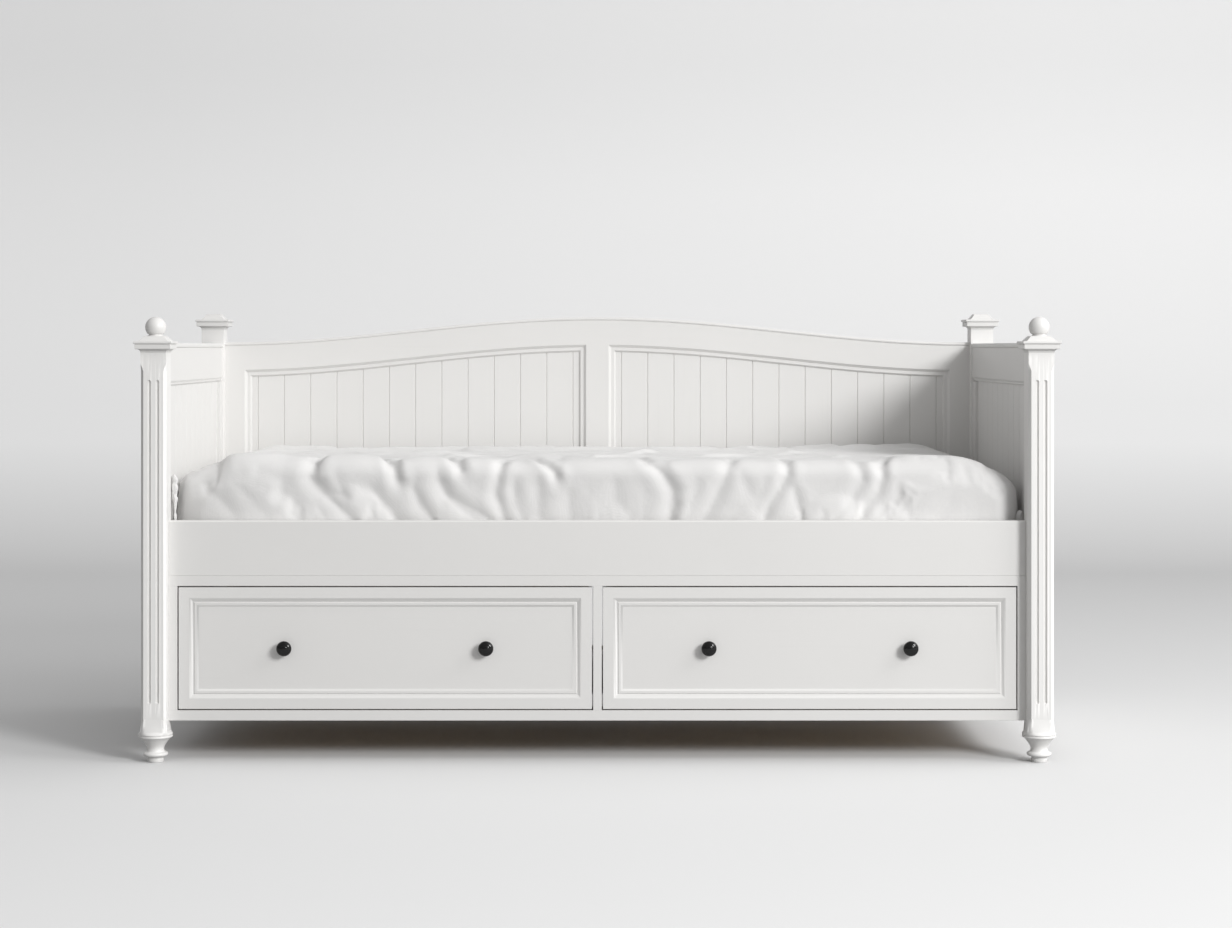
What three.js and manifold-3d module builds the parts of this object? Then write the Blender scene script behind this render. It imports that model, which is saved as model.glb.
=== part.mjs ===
// A white wooden storage daybed: four posts, an arched back and two side panels of boards,
// a slatted base with a mattress, and two drawers on roller runners below it.
// Millimetres, +Z up. The front faces -Y and the floor is z = 0, with the origin midway.
import * as THREE from 'three';
import { mergeVertices } from 'three/addons/utils/BufferGeometryUtils.js';
import Module from 'manifold-3d';

const wasm = await Module();
wasm.setup();

// The bed is made round its mattress
const MATTRESS_LENGTH = 2000;
const MATTRESS_WIDTH = 800;
const MATTRESS_HEIGHT = 190;
const MATTRESS_END_GAP = 10;
const MATTRESS_EDGE_GAP = 7;

// Posts, measured down or up from the rails that they hold
const POST_WIDTH = 60;
const FRONT_POST_BELOW_SIDE_PANEL = 23;
const BACK_POST_ABOVE_RAIL = 35;

// Turned foot below each post
const FOOT_HEIGHT = 93;
const FOOT_BASE = 36;
const FOOT_BULB = 58;
const FOOT_NECK = 40;
const FOOT_COLLAR = 81;

// Stopped chamfers and flutes of the front posts
const CHAMFER = 6.5;
const CHAMFER_RUNOUT = 14;
const CHAMFER_ABOVE_FOOT = 21;
const CHAMFER_BELOW_TOP = 37;
const FLUTE_RADIUS = 5;
const FLUTE_DEPTH = 4;
const FLUTE_SPACING = 18.6;
const FLUTE_ABOVE_FOOT = 47;
const FLUTE_BELOW_TOP = 64;

// Post caps, their roof or button, and the ball finials
const CAP_COVE = 8.5;
const CAP_BAND = 12;
const CAP_SLAB = 6.5;
const CAP_BAND_WIDTH = 84;
const CAP_SLAB_WIDTH = 90;
const CAP_ROUND = 1.2;
const CAP_COVE_STEP = 5;
const ROOF_BASE = 80;
const ROOF_TOP = 53;
const ROOF_STEP = 2;
const ROOF_HEIGHT = 12;
const BUTTON_BASE = 68;
const BUTTON_TOP = 40;
const BUTTON_HEIGHT = 15;
const BALL_DIAMETER = 49;
const BALL_NECK = 31;
const BALL_SEAT = 2;

// Heights of the front, from the floor up
const LOWER_RAIL_ABOVE_FOOT = 3;
const LOWER_RAIL_HEIGHT = 24;
const DRAWER_OPENING = 293;
const TOP_STRIP_HEIGHT = 24;
const FRONT_RAIL_HEIGHT = 130;
const FRONT_RAIL_THICKNESS = 25;
const FRONT_SET_BACK = 34;
const RAIL_ROUND = 3;
const FACE_RAIL_DEPTH = 60;

// Back panel
const BACK_SET_BACK = 23;
const BACK_THICKNESS = 24;
const BACK_RAIL_END_TOP = 989;
const BACK_ARCH_RISE = 69;
const BACK_RAIL_HEIGHT = 75;
const BACK_END_STILE = 53;
const BACK_CENTRE_STILE = 61;
const BACK_BOARD_THICKNESS = 10;
const BACK_BOARD_PITCH = 71.3;
const FIRST_BOARD = 34.5;
const BACK_LOWER_RAIL_HEIGHT = 70;
const NOSING_HEIGHT = 9;
const NOSING_PROUD = 3;
const ARCH_STATIONS = 32;

// Stepped moulding milled on the frames of the back panel
const MOULD_SLOPE = 7;
const MOULD_SLOPE_DEPTH = 6;
const MOULD_FILLET = 8;
const MOULD_STEP = 4;
const MOULD_STEP_DEPTH = 4;
const MITRE_GAP = 0.15;

// Side panels
const SIDE_SET_BACK = 4;
const SIDE_THICKNESS = 24;
const SIDE_TOP_BELOW_BACK_RAIL = 3;
const SIDE_TOP_RAIL_HEIGHT = 102;
const SIDE_NOSING_HEIGHT = 12;
const SIDE_BOTTOM_RAIL_HEIGHT = 90;
const SIDE_STILE = 50;
const SIDE_BOARD_THICKNESS = 10;
const SIDE_BOARD_PITCH = 76;
const SIDE_MOULD_HEIGHT = 11;
const SIDE_GROOVE_DEPTH = 8;

// Grooves between boards
const VEE_WIDTH = 3.4;
const VEE_DEPTH = 2.4;

// Slatted base and mattress
const SLAT_COUNT = 15;
const SLAT_WIDTH = 68;
const SLAT_THICKNESS = 18;
const SLAT_BELOW_RAIL = 60;
const LEDGE_HEIGHT = 30;
const LEDGE_DEPTH = 22;
const TAPE_WIDTH = 25;
const TAPE_THICKNESS = 2;
const TAPE_SPACING = 500;
const MATTRESS_CROWN = 8;
const MATTRESS_CORNER = 70;
const MATTRESS_DRAW_IN = 7;
const MATTRESS_END_DROP = 26;
const MATTRESS_END_REACH = 170;
const MATTRESS_CORNER_STEPS = 5;
const MATTRESS_LONG_STEPS = 8;
const MATTRESS_SHORT_STEPS = 4;

// Drawer carcass and drawers
const CARCASS_BOARD = 20;
const DRAWER_GAP = 2.2;
const DRAWER_FRONT_THICKNESS = 22;
const DRAWER_FRAME = 26;
const DRAWER_SLOPE = 10.5;
const DRAWER_SLOPE_DEPTH = 5;
const DRAWER_FILLET = 6;
const DRAWER_STEP = 5;
const DRAWER_STEP_DEPTH = 3;
const DRAWER_BOX_LENGTH = 650;
const DRAWER_SIDE_THICKNESS = 15;
const DRAWER_SIDE_BOTTOM = 16;
const DRAWER_SIDE_HEIGHT = 210;
const DRAWER_FLOOR_THICKNESS = 6;
const DRAWER_FLOOR_HEIGHT = 12;
const DRAWER_GROOVE_DEPTH = 6;
const KNOB_DIAMETER = 36;
const KNOB_STEM = 13;
const KNOB_FOOT = 22;
const KNOB_FOOT_HEIGHT = 3;
const KNOB_PROJECTION = 29;
const KNOB_SPACING = 475;

// Roller runners
const RUNNER_SPACE = 13;
const RUNNER_PAST_ROLLER = 10;
const RUNNER_SHEET = 1.5;
const RUNNER_HEIGHT_IN_OPENING = 45;
const RUNNER_NOSE = 28;
const REAR_ROLLER_DIAMETER = 20;
const FRONT_ROLLER_DIAMETER = 22;
const FRONT_ROLLER_RAISE = 3;
const ROLLER_WIDTH = 6;
const AXLE_DIAMETER = 6;
const AXLE_PLAY = 0.35;
const REAR_ROLLER_FROM_END = 18;
const LIP_WIDTH = 8.5;
const LIP_HEIGHT = 8;

// Fits, overruns and counts of facets
const SEAT_GAP = 0.3;
const CAP_CLEARANCE = 0.4;
const OVERRUN = 1;
const RING_POINTS = 16;
const BALL_POINTS = 20;
const ROLLER_POINTS = 24;
const HALF = 0.5;
const MERGE_DISTANCE = 1e-4;

// Planes and heights that follow from the sizes above
const clearLength = MATTRESS_LENGTH + 2 * MATTRESS_END_GAP;
const betweenRails = MATTRESS_WIDTH + 2 * MATTRESS_EDGE_GAP;
const outsideDepth = betweenRails + FRONT_RAIL_THICKNESS + FRONT_SET_BACK + POST_WIDTH - BACK_SET_BACK;
const sideTop = BACK_RAIL_END_TOP - SIDE_TOP_BELOW_BACK_RAIL;
const frontPostTop = sideTop - FRONT_POST_BELOW_SIDE_PANEL;
const backPostTop = BACK_RAIL_END_TOP + BACK_POST_ABOVE_RAIL;
const chamferBottom = FOOT_HEIGHT + CHAMFER_ABOVE_FOOT;
const chamferTop = frontPostTop - CHAMFER_BELOW_TOP;
const fluteBottom = FOOT_HEIGHT + FLUTE_ABOVE_FOOT;
const fluteTop = frontPostTop - FLUTE_BELOW_TOP;
const postX = (clearLength + POST_WIDTH) / 2;
const postY = (outsideDepth - POST_WIDTH) / 2;
const clearX = clearLength / 2;
const frontInner = POST_WIDTH - outsideDepth / 2;
const backInner = -frontInner;
const railFace = FRONT_SET_BACK - outsideDepth / 2;
const railBack = railFace + FRONT_RAIL_THICKNESS;
const backFace = backInner + BACK_SET_BACK;
const backRear = backFace + BACK_THICKNESS;
const lowerRailBottom = FOOT_HEIGHT + LOWER_RAIL_ABOVE_FOOT;
const openingBottom = lowerRailBottom + LOWER_RAIL_HEIGHT;
const openingTop = openingBottom + DRAWER_OPENING;
const railBottom = openingTop + TOP_STRIP_HEIGHT;
const railTop = railBottom + FRONT_RAIL_HEIGHT;
const slatTop = railTop - SLAT_BELOW_RAIL;
const slatBottom = slatTop - SLAT_THICKNESS;
const carcassInner = clearX - CARCASS_BOARD;
const dividerHalf = CARCASS_BOARD / 2;

// Finishes
const paint = new THREE.MeshStandardMaterial({ color: 0xe9e8e6, roughness: 0.42, metalness: 0 });
const boardPaint = new THREE.MeshStandardMaterial({ color: 0xe6e5e3, roughness: 0.45, metalness: 0 });
const blackGloss = new THREE.MeshStandardMaterial({ color: 0x0c0c0d, roughness: 0.12, metalness: 0 });
const cotton = new THREE.MeshStandardMaterial({ color: 0xf1f0ee, roughness: 0.9, metalness: 0 });
const pine = new THREE.MeshStandardMaterial({ color: 0xd9bd92, roughness: 0.6, metalness: 0 });
const steel = new THREE.MeshStandardMaterial({ color: 0xd7d8d8, roughness: 0.38, metalness: 0.6 });
const nylon = new THREE.MeshStandardMaterial({ color: 0xeceae4, roughness: 0.5, metalness: 0 });

const daybed = new THREE.Group();

// Solids: merge a closed surface on its places, join and cut it, and turn it back into a mesh

function corners(geometry) {
  const places = new THREE.BufferGeometry();
  places.setAttribute('position', geometry.getAttribute('position').clone());
  if (geometry.index) places.setIndex(geometry.index.clone());
  const merged = mergeVertices(places, MERGE_DISTANCE);
  const from = merged.index.array;
  const faces = [];
  for (let i = 0; i < from.length; i += 3) {
    const [a, b, c] = [from[i], from[i + 1], from[i + 2]];
    if (a !== b && b !== c && c !== a) faces.push(a, b, c);
  }
  return { places: merged.getAttribute('position'), faces };
}

function enclosedVolume(places, faces) {
  const a = new THREE.Vector3();
  const b = new THREE.Vector3();
  const c = new THREE.Vector3();
  let total = 0;
  for (let i = 0; i < faces.length; i += 3) {
    a.fromBufferAttribute(places, faces[i]);
    b.fromBufferAttribute(places, faces[i + 1]);
    c.fromBufferAttribute(places, faces[i + 2]);
    total += a.dot(b.cross(c));
  }
  return total;
}

function solid(geometry) {
  const { places, faces } = corners(geometry);
  if (enclosedVolume(places, faces) < 0) faces.reverse();
  const mesh = new wasm.Mesh({
    numProp: 3,
    vertProperties: new Float32Array(places.array),
    triVerts: new Uint32Array(faces),
  });
  return new wasm.Manifold(mesh);
}

function surface(body) {
  const mesh = body.getMesh();
  const geometry = new THREE.BufferGeometry();
  geometry.setAttribute('position', new THREE.BufferAttribute(mesh.vertProperties, 3));
  geometry.setIndex(new THREE.BufferAttribute(mesh.triVerts, 1));
  const flat = geometry.toNonIndexed();
  flat.computeVertexNormals();
  return flat;
}

function join(first, ...others) {
  return others.reduce((body, other) => body.add(other), first);
}

function cut(first, ...others) {
  return others.reduce((body, other) => body.subtract(other), first);
}

function place(name, body, material, x = 0, y = 0, z = 0) {
  const mesh = new THREE.Mesh(surface(body), material);
  mesh.name = name;
  mesh.position.set(x, y, z);
  daybed.add(mesh);
}

// Basic forms

function block(x0, x1, y0, y1, z0, z1) {
  const geometry = new THREE.BoxGeometry(x1 - x0, y1 - y0, z1 - z0);
  geometry.translate((x0 + x1) / 2, (y0 + y1) / 2, (z0 + z1) / 2);
  return solid(geometry);
}

// Extrude an outline of [a, b] points along an axis. The points are (y, z) for x, (x, z) for y
// and (x, y) for z.
function extrude(axis, outline, from, to) {
  const shape = new THREE.Shape(outline.map(([a, b]) => new THREE.Vector2(a, b)));
  const geometry = new THREE.ExtrudeGeometry(shape, { depth: to - from, bevelEnabled: false });
  geometry.translate(0, 0, from);
  const turn = new THREE.Matrix4();
  if (axis === 'x') turn.set(0, 0, 1, 0, 1, 0, 0, 0, 0, 1, 0, 0, 0, 0, 0, 1);
  if (axis === 'y') turn.set(1, 0, 0, 0, 0, 0, 1, 0, 0, 1, 0, 0, 0, 0, 0, 1);
  geometry.applyMatrix4(turn);
  return solid(geometry);
}

// Skin a run of rings with equal counts of points. The outline, flat, triangulates both ends.
function loft(rings, outline) {
  const count = outline.length;
  const places = rings.flat(2);
  const faces = [];
  for (let r = 0; r < rings.length - 1; r += 1) {
    for (let i = 0; i < count; i += 1) {
      const a = r * count + i;
      const b = r * count + (i + 1) % count;
      faces.push(a, b, b + count);
      faces.push(a, b + count, a + count);
    }
  }
  const flat = outline.map(([a, b]) => new THREE.Vector2(a, b));
  const last = (rings.length - 1) * count;
  const area = THREE.ShapeUtils.area(flat);
  for (const [a, b, c] of THREE.ShapeUtils.triangulateShape(flat, [])) {
    const sameWay = THREE.ShapeUtils.area([flat[a], flat[b], flat[c]]) * area > 0;
    const [second, third] = sameWay ? [b, c] : [c, b];
    faces.push(a, third, second);
    faces.push(last + a, last + second, last + third);
  }
  const geometry = new THREE.BufferGeometry();
  geometry.setAttribute('position', new THREE.Float32BufferAttribute(places, 3));
  geometry.setIndex(faces);
  return solid(geometry);
}

function turned(profile, points) {
  const line = profile.map(([radius, height]) => new THREE.Vector2(radius, height));
  const geometry = new THREE.LatheGeometry(line, points);
  geometry.rotateX(Math.PI / 2);
  return solid(geometry);
}

function mix(a, b, share) {
  return a + (b - a) * share;
}

// A ring of one width all round that goes from a square to a circle
function blendRing(height, width, roundShare) {
  const ring = [];
  for (let k = 0; k < RING_POINTS; k += 1) {
    const angle = (2 * Math.PI * k) / RING_POINTS;
    const across = Math.cos(angle);
    const along = Math.sin(angle);
    const square = 1 / Math.max(Math.abs(across), Math.abs(along));
    const reach = (width / 2) * mix(square, 1, roundShare);
    ring.push([reach * across, reach * along, height]);
  }
  return ring;
}

function squareRing(height, width) {
  const half = width / 2;
  return [[-half, -half, height], [half, -half, height], [half, half, height], [-half, half, height]];
}

function loftFlat(rings) {
  return loft(rings, rings[0].map(([x, y]) => [x, y]));
}

// Posts

// Rows of the turned foot: share of its height, share of the way from its narrow to its wide
// width, and on the flare how round it still is
const bulbShares = [[0, 0], [0.04, 0.1], [0.11, 0.04], [0.145, 0.55], [0.18, 0.92],
  [0.21, 1], [0.24, 0.9]];
const coneShares = [[0.296, 0.1], [0.343, 0], [0.4, 0.06], [0.465, 0.28], [0.523, 0.53],
  [0.58, 0.86], [0.633, 1], [0.673, 0.94], [0.685, 0.86], [0.702, 0.97]];
const flareShares = [[0.743, 0.86, 0.6], [0.79, 0.55, 0.45], [0.88, 0.15, 0.2], [1, 0, 0]];

function footRings() {
  const bulb = bulbShares.map(([high, wide]) => [high, mix(FOOT_BASE, FOOT_BULB, wide), 1]);
  const cone = coneShares.map(([high, wide]) => [high, mix(FOOT_NECK, FOOT_COLLAR, wide), 1]);
  const flare = flareShares.map(([high, wide, round]) => [high, mix(POST_WIDTH, FOOT_COLLAR, wide), round]);
  return [...bulb, ...cone, ...flare].map(([high, wide, round]) => blendRing(high * FOOT_HEIGHT, wide, round));
}

// A bar that takes one vertical corner off, running out to nothing at both stops
function chamferCutter(side) {
  const half = POST_WIDTH / 2;
  const ring = (height, away) => {
    const near = half - CHAMFER - OVERRUN + away;
    const far = half + OVERRUN + away;
    return [[side * near, -far, height], [side * far, -near, height], [side * far, -far, height]];
  };
  const rings = [
    ring(chamferBottom, CHAMFER),
    ring(chamferBottom + CHAMFER_RUNOUT, 0),
    ring(chamferTop - CHAMFER_RUNOUT, 0),
    ring(chamferTop, CHAMFER),
  ];
  return loftFlat(rings);
}

function fluteCutter(offset) {
  const rise = fluteTop - fluteBottom;
  const straight = rise - 2 * FLUTE_RADIUS;
  const round = Math.SQRT1_2 * FLUTE_RADIUS;
  const profile = [
    [0, 0],
    [round, FLUTE_RADIUS - round],
    [FLUTE_RADIUS, FLUTE_RADIUS],
    [FLUTE_RADIUS, FLUTE_RADIUS + straight],
    [round, FLUTE_RADIUS + straight + round],
    [0, rise],
  ];
  const lift = FLUTE_RADIUS - FLUTE_DEPTH;
  return turned(profile, RING_POINTS).translate([offset, -POST_WIDTH / 2 - lift, fluteBottom]);
}

function postBody(top) {
  return loftFlat([...footRings(), blendRing(top, POST_WIDTH, 0)]);
}

function makePosts() {
  const front = cut(
    postBody(frontPostTop),
    chamferCutter(-1),
    chamferCutter(1),
    fluteCutter(-FLUTE_SPACING / 2),
    fluteCutter(FLUTE_SPACING / 2),
  );
  const back = postBody(backPostTop);
  place('post_front_left', front, paint, -postX, -postY);
  place('post_front_right', front, paint, postX, -postY);
  place('post_back_left', back, paint, -postX, postY);
  place('post_back_right', back, paint, postX, postY);
}

// Caps and finials

const coveShares = [[0, 0], [0.35, 0.14], [0.7, 0.46], [1, 1]];
const slabTop = CAP_COVE + CAP_BAND + CAP_SLAB;

// A grown copy of the cap cuts the rails that run into it
function capRings(growth = 0) {
  const bandBottom = CAP_COVE;
  const bandTop = bandBottom + CAP_BAND;
  const coveTop = CAP_BAND_WIDTH - CAP_COVE_STEP;
  const rows = [
    ...coveShares.map(([high, wide]) => [high * CAP_COVE, mix(POST_WIDTH, coveTop, wide)]),
    [bandBottom, CAP_BAND_WIDTH - 2 * CAP_ROUND],
    [bandBottom + CAP_ROUND, CAP_BAND_WIDTH],
    [bandTop - CAP_ROUND, CAP_BAND_WIDTH],
    [bandTop, CAP_BAND_WIDTH - 2 * CAP_ROUND],
    [bandTop, CAP_SLAB_WIDTH - 2 * CAP_ROUND],
    [bandTop + CAP_ROUND, CAP_SLAB_WIDTH],
    [slabTop - CAP_ROUND, CAP_SLAB_WIDTH],
    [slabTop, CAP_SLAB_WIDTH - 2 * CAP_ROUND],
  ];
  return rows.map(([high, wide]) => squareRing(high, wide + growth));
}

const buttonShares = [[0.25, 0], [0.55, 0.35], [0.8, 0.7], [0.95, 1], [1, 1.4]];

function makeCaps() {
  const roof = [
    squareRing(slabTop, ROOF_BASE),
    squareRing(slabTop + ROOF_STEP, ROOF_BASE),
    squareRing(slabTop + ROOF_HEIGHT, ROOF_TOP),
  ];
  const button = buttonShares.map(([high, wide]) => (
    squareRing(slabTop + high * BUTTON_HEIGHT, mix(BUTTON_BASE, BUTTON_TOP, wide))
  ));
  const frontCap = loftFlat([...capRings(), ...roof]);
  const backCap = loftFlat([...capRings(), squareRing(slabTop, BUTTON_BASE), ...button]);
  place('cap_front_left', frontCap, paint, -postX, -postY, frontPostTop);
  place('cap_front_right', frontCap, paint, postX, -postY, frontPostTop);
  place('cap_back_left', backCap, paint, -postX, postY, backPostTop);
  place('cap_back_right', backCap, paint, postX, postY, backPostTop);
}

function makeFinials() {
  const radius = BALL_DIAMETER / 2;
  const neck = BALL_NECK / 2;
  const centre = BALL_SEAT + Math.sqrt(radius * radius - neck * neck);
  const profile = [[0, 0], [neck + BALL_SEAT, 0], [neck, BALL_SEAT]];
  const lowest = Math.asin((BALL_SEAT - centre) / radius);
  for (let k = 1; k <= BALL_POINTS / 2; k += 1) {
    const angle = mix(lowest, Math.PI / 2, (2 * k) / BALL_POINTS);
    const reach = k === BALL_POINTS / 2 ? 0 : radius * Math.cos(angle);
    profile.push([reach, centre + radius * Math.sin(angle)]);
  }
  const ball = turned(profile, BALL_POINTS);
  const seat = frontPostTop + slabTop + ROOF_HEIGHT;
  place('ball_finial_left', ball, paint, -postX, -postY, seat);
  place('ball_finial_right', ball, paint, postX, -postY, seat);
}

// Back panel. The arch is a wave on even stations, straight between them, so that the rail,
// the moulding and the boards all meet on the same facets.

const stationStep = clearLength / ARCH_STATIONS;

function archAt(x) {
  const wave = (at) => (1 + Math.cos((Math.PI * at) / clearX)) / 2;
  const station = Math.min(ARCH_STATIONS - 1, Math.floor((x + clearX) / stationStep));
  const left = station * stationStep - clearX;
  const share = (x - left) / stationStep;
  return BACK_ARCH_RISE * mix(wave(left), wave(left + stationStep), share);
}

function railUpper(x) {
  return BACK_RAIL_END_TOP + archAt(x);
}

function railLower(x) {
  return railUpper(x) - BACK_RAIL_HEIGHT;
}

function stationsBetween(from, to, margin) {
  const list = [];
  for (let k = 0; k <= ARCH_STATIONS; k += 1) {
    const x = k * stationStep - clearX;
    if (x > from + margin && x < to - margin) list.push(x);
  }
  return list;
}

// Half of the nosing's outline: share of its height down from the top, share of how proud it is
const nosingShares = [[0, 0.2], [0.2, 0.8], [0.5, 1], [0.8, 0.8], [1, 0]];

function backRailOutline() {
  const front = nosingShares.map(([down, out]) => [backFace - out * NOSING_PROUD, -down * NOSING_HEIGHT]);
  const rear = nosingShares.map(([down, out]) => [backRear + out * NOSING_PROUD, -down * NOSING_HEIGHT]);
  const foot = [[backFace, -BACK_RAIL_HEIGHT], [backRear, -BACK_RAIL_HEIGHT]];
  return [...front, ...foot, ...rear.reverse()];
}

// Stepped moulding, as [distance into the opening, depth behind the frame's face]
const mouldWidth = MOULD_SLOPE + MOULD_FILLET + MOULD_STEP;
const mouldDepth = MOULD_SLOPE_DEPTH + MOULD_STEP_DEPTH;

function mouldOutline() {
  return [
    [0, 0],
    [MOULD_SLOPE, MOULD_SLOPE_DEPTH],
    [MOULD_SLOPE + MOULD_FILLET, MOULD_SLOPE_DEPTH],
    [mouldWidth, mouldDepth],
    [mouldWidth, mouldDepth + OVERRUN],
    [-OVERRUN, mouldDepth + OVERRUN],
    [-OVERRUN, OVERRUN],
  ];
}

const fields = [
  { from: BACK_END_STILE - clearX, to: -BACK_CENTRE_STILE / 2 },
  { from: BACK_CENTRE_STILE / 2, to: clearX - BACK_END_STILE },
];

function topMould({ from, to }) {
  const outline = mouldOutline();
  const ring = (x, edge) => outline.map(([into, deep]) => {
    const shift = edge * (Math.max(into, 0) + MITRE_GAP);
    return [x + shift, backFace + deep, railLower(x + shift) - into];
  });
  const between = stationsBetween(from, to, mouldWidth + OVERRUN).map((x) => ring(x, 0));
  return loft([ring(from, 1), ...between, ring(to, -1)], outline);
}

function bottomMould({ from, to }) {
  const outline = mouldOutline();
  const ring = (x, edge) => outline.map(([into, deep]) => {
    const shift = edge * (Math.max(into, 0) + MITRE_GAP);
    return [x + shift, backFace + deep, railTop + into];
  });
  return loft([ring(from, 1), ring(to, -1)], outline);
}

// side is 1 where the opening lies towards +X of the stile and -1 where it lies towards -X
function stileMould(x, side) {
  const outline = mouldOutline();
  const cornerAt = ([into, deep], height) => [x + side * into, backFace + deep, height];
  const inset = (into) => (into < 0 ? OVERRUN : into) + MITRE_GAP;
  const lower = outline.map((point) => cornerAt(point, railTop + inset(point[0])));
  const upper = outline.map((point) => {
    const at = x + side * Math.max(point[0], 0);
    return cornerAt(point, railLower(at) - inset(point[0]));
  });
  return loft([lower, upper], outline);
}

function stile(from, to) {
  const edge = [from, ...stationsBetween(from, to, 0), to];
  const top = edge.map((x) => [x, railLower(x)]).reverse();
  return extrude('y', [[from, railTop], [to, railTop], ...top], backFace, backRear);
}

const boardFront = backFace + mouldDepth + OVERRUN + SEAT_GAP;

function boardField({ from, to }) {
  const left = from + SEAT_GAP;
  const right = to - SEAT_GAP;
  const bottom = railTop + SEAT_GAP;
  const edge = [left, ...stationsBetween(left, right, 0), right];
  const top = edge.map((x) => [x, railLower(x) - SEAT_GAP]).reverse();
  const rear = boardFront + BACK_BOARD_THICKNESS;
  const panel = extrude('y', [[left, bottom], [right, bottom], ...top], boardFront, rear);
  const height = BACK_RAIL_END_TOP + BACK_ARCH_RISE;
  const grooves = [];
  for (let x = from + FIRST_BOARD; x < to - mouldWidth - VEE_WIDTH; x += BACK_BOARD_PITCH) {
    const vee = [
      [x - VEE_WIDTH, boardFront - VEE_DEPTH],
      [x + VEE_WIDTH, boardFront - VEE_DEPTH],
      [x, boardFront + VEE_DEPTH],
    ];
    grooves.push(extrude('z', vee, bottom - OVERRUN, height));
  }
  return cut(panel, ...grooves);
}

function makeBack() {
  const railOutline = backRailOutline();
  const stations = [-clearX, ...stationsBetween(-clearX, clearX, OVERRUN), clearX];
  const railRings = stations.map((x) => railOutline.map(([y, z]) => [x, y, railUpper(x) + z]));
  const topRail = join(loft(railRings, railOutline), ...fields.map(topMould));
  place('back_top_rail', topRail, paint);

  const bottomRail = block(-clearX, clearX, backFace, backRear, railBottom, railTop);
  place('back_bottom_rail', join(bottomRail, ...fields.map(bottomMould)), paint);

  const [leftField, rightField] = fields;
  const centre = join(
    stile(leftField.to, rightField.from),
    stileMould(leftField.to, -1),
    stileMould(rightField.from, 1),
  );
  place('back_stile_left', join(stile(-clearX, leftField.from), stileMould(leftField.from, 1)), paint);
  place('back_stile_centre', centre, paint);
  place('back_stile_right', join(stile(rightField.to, clearX), stileMould(rightField.to, -1)), paint);
  place('back_boards_left', boardField(leftField), boardPaint);
  place('back_boards_right', boardField(rightField), boardPaint);

  const lowerTop = lowerRailBottom + BACK_LOWER_RAIL_HEIGHT;
  place('back_lower_rail', block(-clearX, clearX, backFace, backRear, lowerRailBottom, lowerTop), paint);
}

// Side panels, drawn about their own middle plane

const sideX = clearX + SIDE_SET_BACK + SIDE_THICKNESS / 2;
const sideHalf = SIDE_THICKNESS / 2;
const grooveHalf = SIDE_BOARD_THICKNESS / 2 + SEAT_GAP;
const sideRailBottom = sideTop - SIDE_TOP_RAIL_HEIGHT;
const sideBottomTop = lowerRailBottom + SIDE_BOTTOM_RAIL_HEIGHT;
const sideMouldShares = [[1, 0], [0.55, 0.5], [0.3, 0.5], [0, 1]];

function bothSides(half) {
  return [...half, ...half.map(([x, z]) => [-x, z]).reverse()];
}

// The front end is scribed round the front post's cap
function sideTopRail(hand) {
  const nose = nosingShares.map(([down, out]) => (
    [sideHalf + out * NOSING_PROUD, sideTop - down * SIDE_NOSING_HEIGHT]
  ));
  const mould = sideMouldShares.map(([high, deep]) => (
    [mix(sideHalf, grooveHalf + OVERRUN, deep), sideRailBottom + high * SIDE_MOULD_HEIGHT]
  ));
  const groove = [[grooveHalf, sideRailBottom], [grooveHalf, sideRailBottom + SIDE_GROOVE_DEPTH]];
  const rail = extrude('y', bothSides([...nose, ...mould, ...groove]), frontInner, backInner);
  const cap = loftFlat(capRings(2 * CAP_CLEARANCE));
  return cut(rail, cap.translate([hand * (postX - sideX), -postY, frontPostTop - SEAT_GAP]));
}

function sideBottomRail() {
  const half = [
    [sideHalf, lowerRailBottom],
    [sideHalf, sideBottomTop - SIDE_MOULD_HEIGHT],
    [grooveHalf + OVERRUN, sideBottomTop],
    [grooveHalf, sideBottomTop],
    [grooveHalf, sideBottomTop - SIDE_GROOVE_DEPTH],
  ];
  return extrude('y', bothSides(half), frontInner, backInner);
}

function sideBoards() {
  const half = SIDE_BOARD_THICKNESS / 2;
  const from = frontInner + SEAT_GAP;
  const to = backInner - SEAT_GAP;
  const inner = [[half, from]];
  for (let y = from + SIDE_STILE + SIDE_BOARD_PITCH; y < to - SIDE_STILE - VEE_WIDTH; y += SIDE_BOARD_PITCH) {
    inner.push([half, y - VEE_WIDTH / 2], [half - VEE_DEPTH, y], [half, y + VEE_WIDTH / 2]);
  }
  inner.push([half, to]);
  const bottom = sideBottomTop - SIDE_GROOVE_DEPTH + SEAT_GAP;
  const top = sideRailBottom + SIDE_GROOVE_DEPTH - SEAT_GAP;
  const field = extrude('z', bothSides(inner), bottom, top);
  const low = sideBottomTop + SEAT_GAP;
  const high = sideRailBottom - SEAT_GAP;
  const stiles = [
    block(-sideHalf, sideHalf, from, from + SIDE_STILE, low, high),
    block(-sideHalf, sideHalf, to - SIDE_STILE, to, low, high),
  ];
  return join(field, ...stiles);
}

function makeSides() {
  for (const [side, hand] of [['left', -1], ['right', 1]]) {
    const x = hand * sideX;
    place(`side_top_rail_${side}`, sideTopRail(hand), paint, x);
    place(`side_boards_${side}`, sideBoards(), boardPaint, x);
    place(`side_bottom_rail_${side}`, sideBottomRail(), paint, x);
  }
}

// Front rail, ledges and slats

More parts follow.
